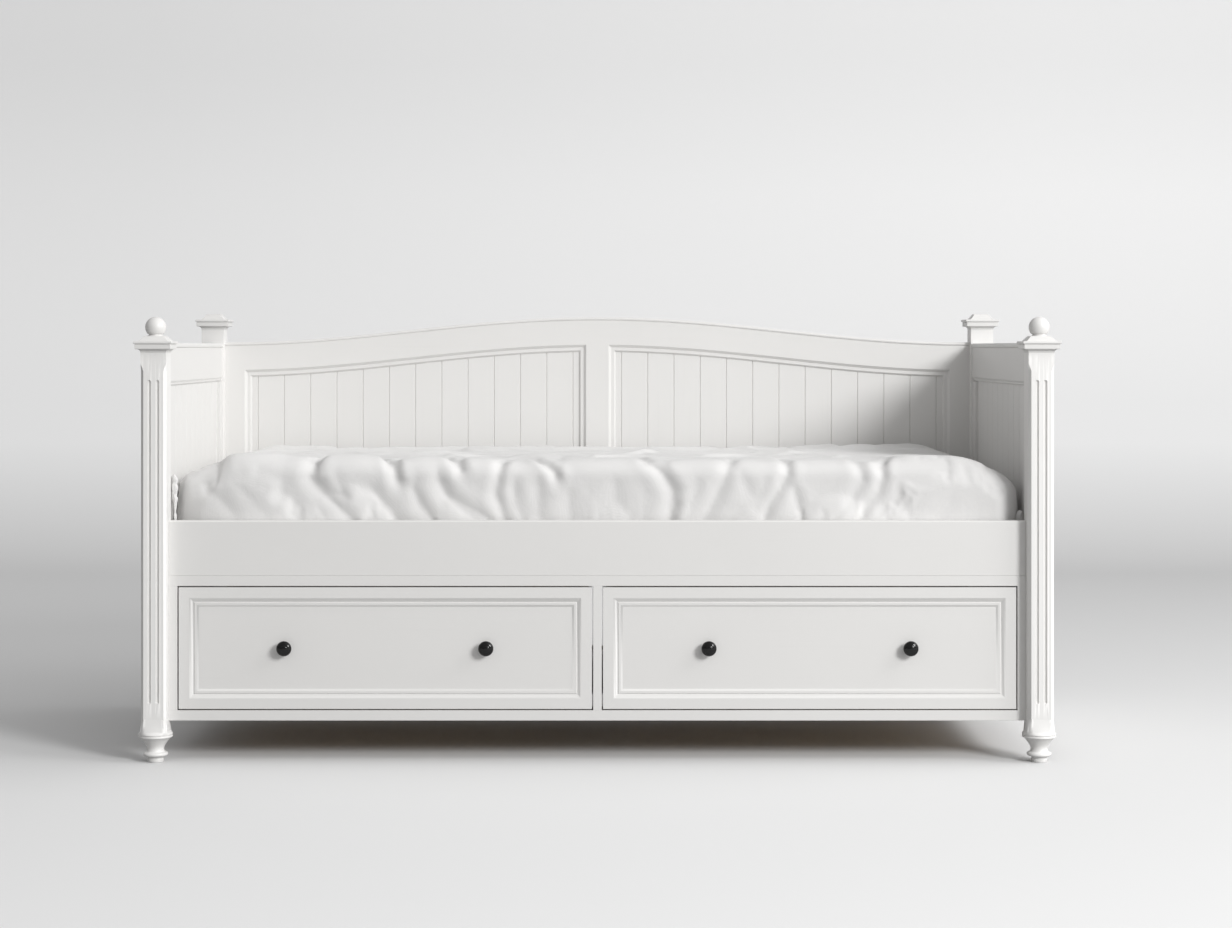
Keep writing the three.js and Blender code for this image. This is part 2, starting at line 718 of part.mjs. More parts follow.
function makeBase() {
  const railOutline = [
    [railBack, railBottom],
    [railBack, railTop],
    [railFace + RAIL_ROUND, railTop],
    [railFace + RAIL_ROUND * (1 - Math.SQRT1_2), railTop - RAIL_ROUND * (1 - Math.SQRT1_2)],
    [railFace, railTop - RAIL_ROUND],
    [railFace, railBottom],
  ];
  place('front_rail', extrude('x', railOutline, -clearX, clearX), paint);

  const ledgeBottom = slatBottom - LEDGE_HEIGHT;
  const frontLedge = block(-clearX, clearX, railBack, railBack + LEDGE_DEPTH, ledgeBottom, slatBottom);
  const backLedge = block(-clearX, clearX, backFace - LEDGE_DEPTH, backFace, ledgeBottom, slatBottom);
  place('slat_ledge_front', frontLedge, pine);
  place('slat_ledge_back', backLedge, pine);

  const reach = (MATTRESS_LENGTH - SLAT_WIDTH) / 2;
  const pitch = (2 * reach) / (SLAT_COUNT - 1);
  const slats = [];
  for (let k = 0; k < SLAT_COUNT; k += 1) {
    const x = k * pitch - reach;
    const left = x - SLAT_WIDTH / 2;
    const right = x + SLAT_WIDTH / 2;
    slats.push(block(left, right, railBack + OVERRUN, backFace - OVERRUN, slatBottom, slatTop));
  }
  const middle = (railBack + backFace) / 2;
  const tapes = [-1, 1].map((side) => {
    const y = middle + (side * TAPE_SPACING) / 2;
    const low = slatTop - TAPE_THICKNESS;
    const end = reach + SLAT_WIDTH / 2 - OVERRUN;
    return block(-end, end, y - TAPE_WIDTH / 2, y + TAPE_WIDTH / 2, low, slatTop - SEAT_GAP);
  });
  place('slatted_base', join(tapes[0], tapes[1], ...slats), pine);
}

// Mattress: crowned on top, drawn in between its seams, its ends falling away at the corners

function roundedRing(length, width, corner, height) {
  const ring = [];
  const steps = MATTRESS_CORNER_STEPS;
  const halves = [length / 2 - corner, width / 2 - corner];
  const centres = [[1, -1], [1, 1], [-1, 1], [-1, -1]];
  centres.forEach(([sx, sy], quarter) => {
    for (let k = 0; k <= steps; k += 1) {
      const angle = (Math.PI / 2) * (quarter - 1 + k / steps);
      ring.push([
        sx * halves[0] + corner * Math.cos(angle),
        sy * halves[1] + corner * Math.sin(angle),
        height,
      ]);
    }
    const [nx, ny] = centres[(quarter + 1) % centres.length];
    const along = ny !== sy ? MATTRESS_SHORT_STEPS : MATTRESS_LONG_STEPS;
    const angle = (Math.PI / 2) * quarter;
    const offset = [corner * Math.cos(angle), corner * Math.sin(angle)];
    for (let k = 1; k < along; k += 1) {
      ring.push([
        mix(sx, nx, k / along) * halves[0] + offset[0],
        mix(sy, ny, k / along) * halves[1] + offset[1],
        height,
      ]);
    }
  });
  return ring;
}

// Each row: share of the height, share of the draw-in, inset in shares of the corner radius
const mattressSideShares = [[0, 0, 0.6], [0, 0, 0.3], [0.02, 0, 0.1], [0.08, 0, 0.02], [0.2, 0.6, 0],
  [0.45, 1, 0], [0.68, 0.6, 0], [0.8, 0, 0.02], [0.9, 0, 0.14], [0.96, 0, 0.35], [1, 0, 0.75]];
const mattressTopShares = [[0.35, 0.2], [0.6, 0.5], [0.85, 0.85]];

function makeMattress() {
  const ringAt = (high, inset) => {
    const corner = Math.max(MATTRESS_CORNER - inset, MATTRESS_CORNER / 2);
    const ring = roundedRing(MATTRESS_LENGTH - 2 * inset, MATTRESS_WIDTH - 2 * inset, corner, high);
    const fall = MATTRESS_LENGTH / 2 - MATTRESS_END_REACH;
    return ring.map(([x, y, z]) => {
      const out = Math.max(0, Math.abs(x) - fall) / MATTRESS_END_REACH;
      const lift = Math.max(0, z / MATTRESS_HEIGHT - HALF) / HALF;
      return [x, y, z - MATTRESS_END_DROP * out * out * lift];
    });
  };
  const sides = mattressSideShares.map(([high, drawn, inset]) => (
    ringAt(high * MATTRESS_HEIGHT, drawn * MATTRESS_DRAW_IN + inset * MATTRESS_CORNER)
  ));
  const reach = MATTRESS_WIDTH / 2;
  const crown = mattressTopShares.map(([inset, high]) => (
    ringAt(MATTRESS_HEIGHT + high * MATTRESS_CROWN, inset * reach)
  ));
  const body = loftFlat([...sides, ...crown]);
  const y = (railBack + backFace) / 2;
  place('mattress', body, cotton, 0, y, slatTop);
}

// Drawer carcass

function makeCarcass() {
  const deep = railFace + FACE_RAIL_DEPTH;
  place('carcass_top_rail', block(-clearX, clearX, railFace, deep, openingTop, railBottom), paint);
  place('carcass_bottom_rail', block(-clearX, clearX, railFace, deep, lowerRailBottom, openingBottom), paint);
  const side = (from, to) => block(from, to, railFace, backFace, openingBottom, openingTop);
  place('carcass_side_left', side(-clearX, -carcassInner), paint);
  place('carcass_side_right', side(carcassInner, clearX), paint);
  place('carcass_divider', side(-dividerHalf, dividerHalf), paint);
}

// Drawers. Each is drawn about the middle of its opening; its left half mirrors its right half.

const drawerX = (carcassInner + dividerHalf) / 2;
const openingHalf = (carcassInner - dividerHalf) / 2;
const frontHalf = openingHalf - DRAWER_GAP;
const frontBottom = openingBottom + DRAWER_GAP;
const frontTop = openingTop - DRAWER_GAP;
const frontRear = railFace + DRAWER_FRONT_THICKNESS;
const boxHalf = openingHalf - RUNNER_SPACE;
const boxBottom = openingBottom + DRAWER_SIDE_BOTTOM;
const boxTop = boxBottom + DRAWER_SIDE_HEIGHT;
const boxEnd = frontRear + DRAWER_BOX_LENGTH;
const floorBottom = boxBottom + DRAWER_FLOOR_HEIGHT;
const floorTop = floorBottom + DRAWER_FLOOR_THICKNESS;
const panelFace = railFace + DRAWER_SLOPE_DEPTH + DRAWER_STEP_DEPTH;

function drawerFront() {
  const ring = (inset, y) => [
    [-frontHalf + inset, y, frontBottom + inset],
    [frontHalf - inset, y, frontBottom + inset],
    [frontHalf - inset, y, frontTop - inset],
    [-frontHalf + inset, y, frontTop - inset],
  ];
  const fillet = railFace + DRAWER_SLOPE_DEPTH;
  const rings = [
    ring(0, frontRear),
    ring(0, railFace),
    ring(DRAWER_FRAME, railFace),
    ring(DRAWER_FRAME + DRAWER_SLOPE, fillet),
    ring(DRAWER_FRAME + DRAWER_SLOPE + DRAWER_FILLET, fillet),
    ring(DRAWER_FRAME + DRAWER_SLOPE + DRAWER_FILLET + DRAWER_STEP, panelFace),
  ];
  return loft(rings, rings[0].map(([x, , z]) => [x, z]));
}

// Heights of the runner: the channel's middle, and the underside of the lip that rides on the
// front roller
const runnerMiddle = openingBottom + RUNNER_HEIGHT_IN_OPENING;
const lipBottom = runnerMiddle + FRONT_ROLLER_RAISE + FRONT_ROLLER_DIAMETER / 2 + SEAT_GAP;
const rearRollerY = boxEnd - REAR_ROLLER_FROM_END;
const runnerFront = frontRear + OVERRUN;
const frontRollerY = runnerFront + RUNNER_NOSE / 2;
const channelHalf = REAR_ROLLER_DIAMETER / 2 + SEAT_GAP;
const webFace = openingHalf - RUNNER_SHEET;
const rollerInner = boxHalf + (webFace - boxHalf - ROLLER_WIDTH) / 2;
const rollerOuter = rollerInner + ROLLER_WIDTH;

function axle(from, to, y, z) {
  const radius = AXLE_DIAMETER / 2;
  const pin = new THREE.CylinderGeometry(radius, radius, to - from, ROLLER_POINTS / 2);
  pin.rotateZ(Math.PI / 2);
  pin.translate((from + to) / 2, y, z);
  return solid(pin);
}

function drawerSide() {
  const inside = boxHalf - DRAWER_SIDE_THICKNESS;
  const groove = inside + DRAWER_GROOVE_DEPTH;
  const outline = [
    [inside, boxBottom],
    [boxHalf, boxBottom],
    [boxHalf, lipBottom],
    [boxHalf + LIP_WIDTH, lipBottom],
    [boxHalf + LIP_WIDTH, lipBottom + LIP_HEIGHT],
    [boxHalf, lipBottom + LIP_HEIGHT],
    [boxHalf, boxTop],
    [inside, boxTop],
    [inside, floorTop + SEAT_GAP],
    [groove, floorTop + SEAT_GAP],
    [groove, floorBottom - SEAT_GAP],
    [inside, floorBottom - SEAT_GAP],
  ];
  const board = extrude('y', outline, frontRear, boxEnd);
  return join(board, axle(boxHalf - OVERRUN, rollerOuter + OVERRUN, rearRollerY, runnerMiddle));
}

function channel() {
  const low = runnerMiddle - channelHalf;
  const high = runnerMiddle + channelHalf;
  const outer = openingHalf;
  const lip = boxHalf + OVERRUN;
  const outline = [
    [outer, low - RUNNER_SHEET],
    [lip, low - RUNNER_SHEET],
    [lip, low],
    [webFace, low],
    [webFace, high],
    [lip, high],
    [lip, high + RUNNER_SHEET],
    [outer, high + RUNNER_SHEET],
  ];
  const rear = rearRollerY + REAR_ROLLER_DIAMETER / 2 + RUNNER_PAST_ROLLER;
  const track = extrude('y', outline, runnerFront + RUNNER_NOSE, rear);
  const noseEnd = runnerFront + RUNNER_NOSE + OVERRUN;
  const nose = block(webFace, outer, runnerFront, noseEnd, low - RUNNER_SHEET, high + RUNNER_SHEET);
  const pinHeight = runnerMiddle + FRONT_ROLLER_RAISE;
  return join(track, nose, axle(rollerInner - OVERRUN, webFace + HALF * RUNNER_SHEET, frontRollerY, pinHeight));
}

// A roller about its own axle, which lies along X
function roller(diameter) {
  const bore = AXLE_DIAMETER / 2 + AXLE_PLAY;
  const half = ROLLER_WIDTH / 2 - AXLE_PLAY;
  const outside = diameter / 2;
  const profile = [[bore, -half], [outside, -half], [outside, half], [bore, half], [bore, -half]];
  const geometry = new THREE.LatheGeometry(profile.map(([r, h]) => new THREE.Vector2(r, h)), ROLLER_POINTS);
  geometry.rotateZ(Math.PI / 2);
  return solid(geometry);
}

function knob() {
  const radius = KNOB_DIAMETER / 2;
  const stem = KNOB_STEM / 2;
  const foot = KNOB_FOOT / 2;
  const headShares = [[0.42, 0.35], [0.5, 0.8], [0.62, 1], [0.76, 0.96], [0.88, 0.8], [0.96, 0.5]];
  const profile = [[0, 0], [foot, 0], [foot, KNOB_FOOT_HEIGHT * HALF], [stem, KNOB_FOOT_HEIGHT]];
  headShares.forEach(([high, wide]) => profile.push([mix(stem, radius, wide), high * KNOB_PROJECTION]));
  profile.push([0, KNOB_PROJECTION]);
  const geometry = new THREE.LatheGeometry(profile.map(([r, h]) => new THREE.Vector2(r, h)), BALL_POINTS);
  geometry.rotateX(Math.PI);
  return solid(geometry);
}

function makeDrawer(side, x) {
  const outwards = side === 'left' ? -1 : 1;
  const right = drawerSide();
  const left = right.mirror([1, 0, 0]);
  place(`drawer_${side}_front`, drawerFront(), paint, x);
  place(`drawer_${side}_side_outer`, outwards > 0 ? right : left, pine, x);
  place(`drawer_${side}_side_inner`, outwards > 0 ? left : right, pine, x);

  const inside = boxHalf - DRAWER_SIDE_THICKNESS - SEAT_GAP;
  const floorHalf = inside + DRAWER_GROOVE_DEPTH;
  const floorFront = frontRear + SEAT_GAP;
  place(`drawer_${side}_bottom`, block(-floorHalf, floorHalf, floorFront, boxEnd, floorBottom, floorTop), pine, x);
  const backBoard = boxEnd - DRAWER_SIDE_THICKNESS;
  const low = floorTop + SEAT_GAP;
  place(`drawer_${side}_back`, block(-inside, inside, backBoard, boxEnd, low, boxTop), pine, x);

  const knobHeight = (frontBottom + frontTop) / 2;
  place(`knob_${side}_a`, knob(), blackGloss, x - KNOB_SPACING / 2, panelFace, knobHeight);
  place(`knob_${side}_b`, knob(), blackGloss, x + KNOB_SPACING / 2, panelFace, knobHeight);
}

function makeRunners(side, x) {
  const rollerX = (rollerInner + rollerOuter) / 2;
  const right = channel();
  const left = right.mirror([1, 0, 0]);
  const outwards = side === 'left' ? -1 : 1;
  for (const [where, hand] of [['outer', outwards], ['inner', -outwards]]) {
    const at = x + hand * rollerX;
    const frontHeight = runnerMiddle + FRONT_ROLLER_RAISE;
    place(`runner_${side}_${where}`, hand > 0 ? right : left, steel, x);
    place(`front_roller_${side}_${where}`, roller(FRONT_ROLLER_DIAMETER), nylon, at, frontRollerY, frontHeight);
    place(`rear_roller_${side}_${where}`, roller(REAR_ROLLER_DIAMETER), nylon, at, rearRollerY, runnerMiddle);
  }
}

makePosts();
makeCaps();
makeFinials();
makeBack();
makeSides();
makeBase();
makeMattress();
makeCarcass();
makeDrawer('left', -drawerX);
makeDrawer('right', drawerX);
makeRunners('left', -drawerX);
makeRunners('right', drawerX);

export default daybed;
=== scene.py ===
# The looks of a white painted storage daybed: turned and moulded pieces, eased edges, a loose
# mattress cover, and the finish of every piece. Metres, +Z up, the front faces -Y.
import math

import bpy
from bpy.props import FloatProperty, FloatVectorProperty, IntProperty, PointerProperty
from mathutils import Matrix, Vector, noise


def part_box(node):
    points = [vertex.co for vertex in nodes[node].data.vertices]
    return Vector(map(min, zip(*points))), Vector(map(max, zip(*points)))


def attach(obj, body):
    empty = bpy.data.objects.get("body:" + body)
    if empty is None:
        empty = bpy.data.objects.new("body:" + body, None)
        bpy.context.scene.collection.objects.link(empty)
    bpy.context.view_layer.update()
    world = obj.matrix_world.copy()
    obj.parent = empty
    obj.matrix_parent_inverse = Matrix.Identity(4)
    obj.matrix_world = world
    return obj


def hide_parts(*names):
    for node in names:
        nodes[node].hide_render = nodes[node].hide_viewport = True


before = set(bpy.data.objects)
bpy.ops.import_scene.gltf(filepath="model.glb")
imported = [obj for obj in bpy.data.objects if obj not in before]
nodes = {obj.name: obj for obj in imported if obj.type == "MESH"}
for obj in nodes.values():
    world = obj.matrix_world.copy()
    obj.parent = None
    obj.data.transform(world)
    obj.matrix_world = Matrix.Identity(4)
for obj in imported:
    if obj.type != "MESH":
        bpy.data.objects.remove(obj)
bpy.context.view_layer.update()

bl_info = {
    "name": "Storage daybed",
    "version": (1, 0, 0),
    "blender": (4, 5, 0),
    "location": "3D View > Sidebar > Daybed",
    "description": "Models and finishes the pieces of a painted storage daybed",
    "category": "Object",
}

MM = 0.001
SIDES = ("left", "right")


# Sizes and colours that a user would change

def colour(name, description, value):
    return FloatVectorProperty(name=name, description=description, default=value, size=3,
                               subtype="COLOR", min=0.0, max=1.0)


def length(name, description, millimetres):
    return FloatProperty(name=name, description=description, default=millimetres * MM,
                         unit="LENGTH", min=0.0)


class DaybedFinishes(bpy.types.PropertyGroup):
    """Colours of the daybed"""
    paint: colour("Paint", "Satin paint on the wood", (0.735, 0.727, 0.713))
    # The posts' paint is painted light: the same paint a shade lighter, standing in for the brighter
    # light on the posts' faces
    post_paint_painted_lighter: colour("Paint on the posts", "The same paint over solid wood, a shade lighter",
                       (0.805, 0.797, 0.782))
    pine: colour("Pine", "Unpainted wood inside the drawers and under the mattress", (0.70, 0.50, 0.29))
    pine_late: colour("Pine rings", "Darker late wood of the unpainted pine", (0.50, 0.29, 0.12))
    enamel: colour("Knobs", "Gloss enamel on the knobs", (0.004, 0.004, 0.004))
    cotton: colour("Cover", "Cotton of the mattress cover", (0.715, 0.708, 0.70))
    steel: colour("Runners", "Epoxy coat on the steel runners", (0.74, 0.74, 0.73))
    nylon: colour("Rollers", "Nylon of the rollers", (0.80, 0.79, 0.76))
    floor: colour("Floor", "Studio floor in the picture", (0.77, 0.77, 0.77))
    wall: colour("Backdrop", "Backdrop in the picture", (0.985, 0.985, 0.985))
    bounce: colour("Bounce", "Floor and backdrop as the daybed sees them", (0.34, 0.34, 0.34))


class DaybedSizes(bpy.types.PropertyGroup):
    """Sizes of the daybed's small forms"""
    eased_edge: length("Eased edge", "Radius of the sanded edges", 1.2)
    fine_edge: length("Fine edge", "Radius of the edges on mouldings", 0.6)
    flute_radius: length("Flute radius", "Half the width of a flute on the front posts", 4.4)
    flute_depth: length("Flute depth", "Depth of a flute", 5.4)
    flute_spacing: length("Flute spacing", "Distance between the two flutes of a post", 19.2)
    chamfer: length("Chamfer", "Width taken off the corners of a front post", 6.5)
    drawer_ease: length("Drawer ease", "Planed off each edge of a drawer front, beyond its gap", 0.9)
    cover_cell: length("Cover cell", "Cell of the mattress cover's cloth", 8.0)
    cover_reach: length("Cover reach", "Most that the cover moves while it settles", 8.0)
    cover_frames: IntProperty(name="Cover frames", description="Frames that the cover settles for",
                              default=20, min=1)


# Shading: arithmetic on signals adds math nodes, and Nodes.node adds any other node

class Signal:
    """A number that varies over a surface"""

    def __init__(self, finish, socket):
        self.finish = finish
        self.socket = socket

    def math(self, operation, *values):
        made = self.finish.node("ShaderNodeMath", {"operation": operation}, dict(enumerate(values)))
        return Signal(self.finish, made.outputs[0])

    def __add__(self, other):
        return self.math("ADD", self, other)

    def __mul__(self, other):
        return self.math("MULTIPLY", self, other)

    def __sub__(self, other):
        return self.math("SUBTRACT", self, other)

    def __rsub__(self, other):
        return self.math("SUBTRACT", other, self)

    def __pow__(self, other):
        return self.math("POWER", self, other)

    def __rpow__(self, other):
        return self.math("POWER", other, self)

    __radd__ = __add__
    __rmul__ = __mul__


class Nodes:
    """A node tree, and the one way in which nodes come into it"""

    def __init__(self, tree):
        self.tree = tree

    def node(self, kind, settings=None, values=None):
        made = self.tree.nodes.new(kind)
        for key, value in (settings or {}).items():
            setattr(made, key, value)
        for key, value in (values or {}).items():
            if isinstance(value, Signal):
                value = value.socket
            if isinstance(value, bpy.types.NodeSocket):
                self.tree.links.new(value, made.inputs[key])
            else:
                made.inputs[key].default_value = value
        return made

    def range(self, signal, low, high, to_low=0.0, to_high=1.0):
        values = {0: signal, 1: low, 2: high, 3: to_low, 4: to_high}
        return Signal(self, self.node("ShaderNodeMapRange", {"clamp": True}, values).outputs[0])


class Finish(Nodes):
    """A material under its own name, with its nodes"""

    def __init__(self, name, **fixed):
        self.material = bpy.data.materials.new(name)
        self.material.use_nodes = True
        super().__init__(self.material.node_tree)
        self.shader = self.tree.nodes["Principled BSDF"]
        for socket, value in fixed.items():
            self.shader.inputs[socket.replace("_", " ")].default_value = value
        self.place = self.node("ShaderNodeTexCoord").outputs["Object"]

    def stretched(self, *scale):
        return self.node("ShaderNodeMapping", None, {"Vector": self.place, "Scale": scale}).outputs[0]

    def noise(self, scale, detail, rough=0.5, vector=None):
        values = {"Vector": vector or self.place, "Scale": scale, "Detail": detail, "Roughness": rough}
        return Signal(self, self.node("ShaderNodeTexNoise", None, values).outputs[0])

    def mix(self, factor, first, second):
        """Two colours, each a tuple or a socket, mixed by a number that may vary"""
        values = {0: factor}
        for key, value in ((6, first), (7, second)):
            values[key] = (*value, 1.0) if isinstance(value, tuple) else value
        return self.node("ShaderNodeMix", {"data_type": "RGBA"}, values).outputs[2]

    def bump(self, height, distance, strength, **under):
        values = {"Height": height, "Distance": distance, "Strength": strength, **under}
        return self.node("ShaderNodeBump", None, values).outputs[0]

    def feed(self, **links):
        for socket, value in links.items():
            value = value.socket if isinstance(value, Signal) else value
            self.tree.links.new(value, self.shader.inputs[socket.replace("_", " ")])
        return self.material


def along(axis, fine, long):
    """A scale that stretches a pattern along one axis"""
    return tuple(long if letter == axis else fine for letter in "XYZ")


def shade(base, share):
    """The same colour, darker"""
    return tuple(part * share for part in base)


def paint_finish(name, base, axis):
    """Brushed satin paint: faint grain under it, brush lines along the piece, a soft uneven sheen"""
    finish = Finish(name, Specular_IOR_Level=0.45)
    brush = finish.noise(1.0, 3.0, 0.6, finish.stretched(*along(axis, 420.0, 9.0)))
    grain = finish.noise(1.0, 4.0, 0.55, finish.stretched(*along(axis, 95.0, 3.2)))
    peel = finish.noise(700.0, 1.0)
    cloud = finish.noise(2.6, 3.0, 0.6)
    tone = finish.mix(finish.range(cloud, 0.3, 0.7), shade(base, 0.985), base)
    worn = finish.mix(finish.range(grain, 0.62, 0.82, 0.0, 0.35), tone, shade(base, 0.93))
    height = brush * 0.35 + grain * 0.5 + peel * 0.15
    sheen = finish.range(cloud * 0.6 + brush * 0.4, 0.3, 0.7, 0.36, 0.47)
    return finish.feed(Base_Color=worn, Roughness=sheen, Normal=finish.bump(height, 0.00022, 0.55))


def pine_finish(name, early, late, axis):
    """Sanded pine: long growth rings that wander, fine fibres and a few knots"""
    finish = Finish(name, Specular_IOR_Level=0.35)
    drift = finish.noise(1.0, 3.0, 0.55, finish.stretched(*along(axis, 7.0, 1.1)))
    rings = drift.math("FRACT", drift * 34.0)
    late_share = finish.range(rings, 0.35, 0.95) ** 2.2
    fibre = finish.noise(1.0, 2.0, 0.6, finish.stretched(*along(axis, 900.0, 16.0)))
    cells = finish.node("ShaderNodeTexVoronoi", {"feature": "F1"},
                        {"Vector": finish.stretched(*along(axis, 9.0, 2.6)), "Scale": 1.0})
    knot = 1 - finish.range(Signal(finish, cells.outputs["Distance"]), 0.03, 0.11)
    wood = finish.mix(late_share * 0.75, early, late)
    fine = finish.mix(finish.range(fibre, 0.35, 0.75, 0.0, 0.28), wood, shade(late, 0.72))
    dark = finish.mix(knot * 0.8, fine, shade(late, 0.42))
    sheen = finish.range(late_share + knot, 0.0, 1.2, 0.62, 0.44)
    height = fibre * 0.5 + late_share * 0.35
    return finish.feed(Base_Color=dark, Roughness=sheen, Normal=finish.bump(height, 0.0003, 0.6))


def enamel_finish(name, base):
    """Poured gloss enamel with a faint ripple and a trace of dust"""
    finish = Finish(name, Specular_IOR_Level=0.35)
    ripple = finish.noise(160.0, 1.0)
    dust = finish.noise(2400.0, 1.0)
    tone = finish.mix(finish.range(dust, 0.66, 0.8, 0.0, 0.2), base, (0.02, 0.02, 0.02))
    sheen = finish.range(ripple * 0.7 + dust * 0.3, 0.3, 0.7, 0.05, 0.12)
    return finish.feed(Base_Color=tone, Roughness=sheen, Normal=finish.bump(ripple, 0.0004, 0.25))


def steel_finish(name, base):
    """Epoxy powder coat on sheet steel, rubbed where the rollers run"""
    finish = Finish(name, Metallic=0.0, Specular_IOR_Level=0.5)
    texture = finish.noise(1500.0, 2.0)
    rub = finish.noise(1.0, 3.0, 0.6, finish.stretched(60.0, 4.0, 380.0))
    bare = finish.range(rub, 0.6, 0.74, 0.0, 0.5)
    tone = finish.mix(bare, base, (0.42, 0.42, 0.43))
    sheen = finish.range(rub + texture * 0.2, 0.4, 0.9, 0.42, 0.28)
    return finish.feed(Base_Color=tone, Roughness=sheen, Metallic=bare * 0.8,
                       Normal=finish.bump(texture, 0.00015, 0.4))


def nylon_finish(name, base):
    """Moulded nylon with turning marks and a grey track"""
    finish = Finish(name, Specular_IOR_Level=0.5, Subsurface_Weight=0.05)
    cloud = finish.noise(260.0, 3.0)
    marks = finish.noise(1.0, 2.0, 0.5, finish.stretched(2600.0, 60.0, 60.0))
    tone = finish.mix(finish.range(cloud, 0.45, 0.8, 0.0, 0.45), base, shade(base, 0.72))
    sheen = finish.range(marks, 0.3, 0.7, 0.4, 0.56)
    return finish.feed(Base_Color=tone, Roughness=sheen, Normal=finish.bump(marks, 0.0002, 0.5))


def cotton_finish(name, base):
    """Plain woven cotton: threads along all three directions, slubs and soft creases"""
    finish = Finish(name, Sheen_Weight=0.25, Sheen_Roughness=0.5, Specular_IOR_Level=0.2)
    drift = finish.node("ShaderNodeTexNoise", None, {"Vector": finish.place, "Scale": 90.0})
    values = {0: 0.0006, 4: finish.place, 5: drift.outputs[1]}
    wander = finish.node("ShaderNodeMix", {"data_type": "VECTOR"}, values)
    thread = {"Vector": wander.outputs[1], "Scale": 330.0, "Distortion": 0.4, "Detail": 0.0}
    weave = 0.0
    for axis in "XYZ":
        bands = finish.node("ShaderNodeTexWave", {"wave_type": "BANDS", "bands_direction": axis}, thread)
        weave += Signal(finish, bands.outputs[1])
    slub = finish.noise(1.0, 2.0, 0.6, finish.stretched(900.0, 60.0, 120.0))
    crumple = finish.noise(38.0, 4.0, 0.6)
    cloud = finish.noise(5.0, 3.0)
    tone = finish.mix(finish.range(cloud, 0.35, 0.65), shade(base, 0.97), base)
    woven = finish.mix(finish.range(weave + slub, 0.6, 2.6, 0.2, 0.0), tone, shade(base, 0.86))
    fine = finish.bump(weave * 0.6 + slub * 0.4, 0.0002, 0.5)
    return finish.feed(Base_Color=woven, Roughness=finish.range(weave, 0.5, 2.5, 0.95, 0.8),
                       Normal=finish.bump(crumple, 0.0016, 0.5, Normal=fine))


finishes = {}


def make_finishes(colours):
    """All finishes, by name; the paint and the pine once for each direction of the grain"""
    paint, pine, pine_late = tuple(colours.paint), tuple(colours.pine), tuple(colours.pine_late)
    for axis in "XYZ":
        finishes["paint" + axis] = paint_finish("paint_along_" + axis.lower(), paint, axis)
        finishes["pine" + axis] = pine_finish("pine_along_" + axis.lower(), pine, pine_late, axis)
    # Painted light: a lighter copy of the paint for the posts, for the brighter light on their faces
    finishes["post_paint_painted_lighter"] = paint_finish("paint_on_posts_painted_lighter", tuple(colours.post_paint_painted_lighter), "Z")
    finishes["enamel"] = enamel_finish("black_enamel", tuple(colours.enamel))
    finishes["cotton"] = cotton_finish("cotton_cover", tuple(colours.cotton))
    finishes["steel"] = steel_finish("epoxy_steel", tuple(colours.steel))
    finishes["nylon"] = nylon_finish("roller_nylon", tuple(colours.nylon))


# Modelling by hand: a primitive, steps in edit mode, then modifiers

def mode(which):
    bpy.ops.object.mode_set(mode=which)


def clear_selection():
    if bpy.context.object and bpy.context.object.mode != "OBJECT":
        mode("OBJECT")
    bpy.ops.object.select_all(action="DESELECT")


def take(piece):
    clear_selection()
    piece.select_set(True)
    bpy.context.view_layer.objects.active = piece


def settle(piece):
    """Leave the piece at the origin, its place in its mesh, closed and facing outwards"""
    take(piece)
    bpy.ops.object.transform_apply(location=True, rotation=True, scale=True)
    mode("EDIT")
    bpy.ops.mesh.select_all(action="SELECT")
    bpy.ops.mesh.remove_doubles(threshold=1e-6)
    bpy.ops.mesh.normals_make_consistent(inside=False)
    mode("OBJECT")


def extrude(*way):
    bpy.ops.mesh.extrude_region_move(TRANSFORM_OT_translate={"value": way})


def pick(piece, kind, wanted):
    """Select the wanted ones of a new piece's faces or edges, and go on in edit mode"""
    mode("EDIT")
    bpy.ops.mesh.select_mode(type=kind)
    bpy.ops.mesh.select_all(action="DESELECT")
    mode("OBJECT")
    for part in piece.data.polygons if kind == "FACE" else piece.data.edges:
        part.select = wanted(part)
    mode("EDIT")


def block(name, low, high):
    """A block between two corners, to be worked on"""
    clear_selection()
    bpy.ops.mesh.primitive_cube_add(size=1, location=(low + high) / 2)
    piece = bpy.context.object
    piece.name = piece.data.name = name
    piece.scale = high - low
    settle(piece)
    take(piece)
    return piece


def build_up(name, rows, corners=4):
    """Extrude a square (4 corners) or a disc upwards through rows of (height, width) in metres.
    A width of zero closes it in a point."""
    clear_selection()
    (low, width), *rest = rows
    if corners == 4:
        bpy.ops.mesh.primitive_plane_add(size=width, location=(0, 0, low))
    else:
        bpy.ops.mesh.primitive_circle_add(vertices=corners, radius=width / 2, fill_type="NGON",
                                          location=(0, 0, low))
    piece = bpy.context.object
    piece.name = piece.data.name = name
    mode("EDIT")
    for high, wide in rest:
        extrude(0, 0, high - low)
        if wide == 0:
            bpy.ops.mesh.merge(type="CENTER")
            break
        share = wide / width
        bpy.ops.transform.resize(value=(share, share, 1), center_override=(0, 0, high))
        low, width = high, wide
    mode("OBJECT")
    settle(piece)
    return piece


def put(piece, place, turn=None):
    if turn is not None:
        piece.rotation_euler = turn
    piece.location = place
    settle(piece)


def copy_of(piece, name, place):
    twin = piece.copy()
    twin.data = piece.data.copy()
    twin.name = twin.data.name = name
    bpy.context.collection.objects.link(twin)
    twin.data.transform(Matrix.Translation(place))
    return twin


def add_modifier(piece, name, kind, **settings):
    made = piece.modifiers.new(name, kind)
    for key, value in settings.items():
        setattr(made, key, value)
    return made


def apply_modifier(piece, name, kind, **settings):
    take(piece)
    made = add_modifier(piece, name, kind, **settings)
    bpy.ops.object.modifier_apply(modifier=made.name)


def rounding(width, segments, degrees):
    """Settings of a bevel on every edge that is sharper than the angle"""
    return {"width": width, "segments": segments, "limit_method": "ANGLE",
            "angle_limit": math.radians(degrees), "use_clamp_overlap": True}


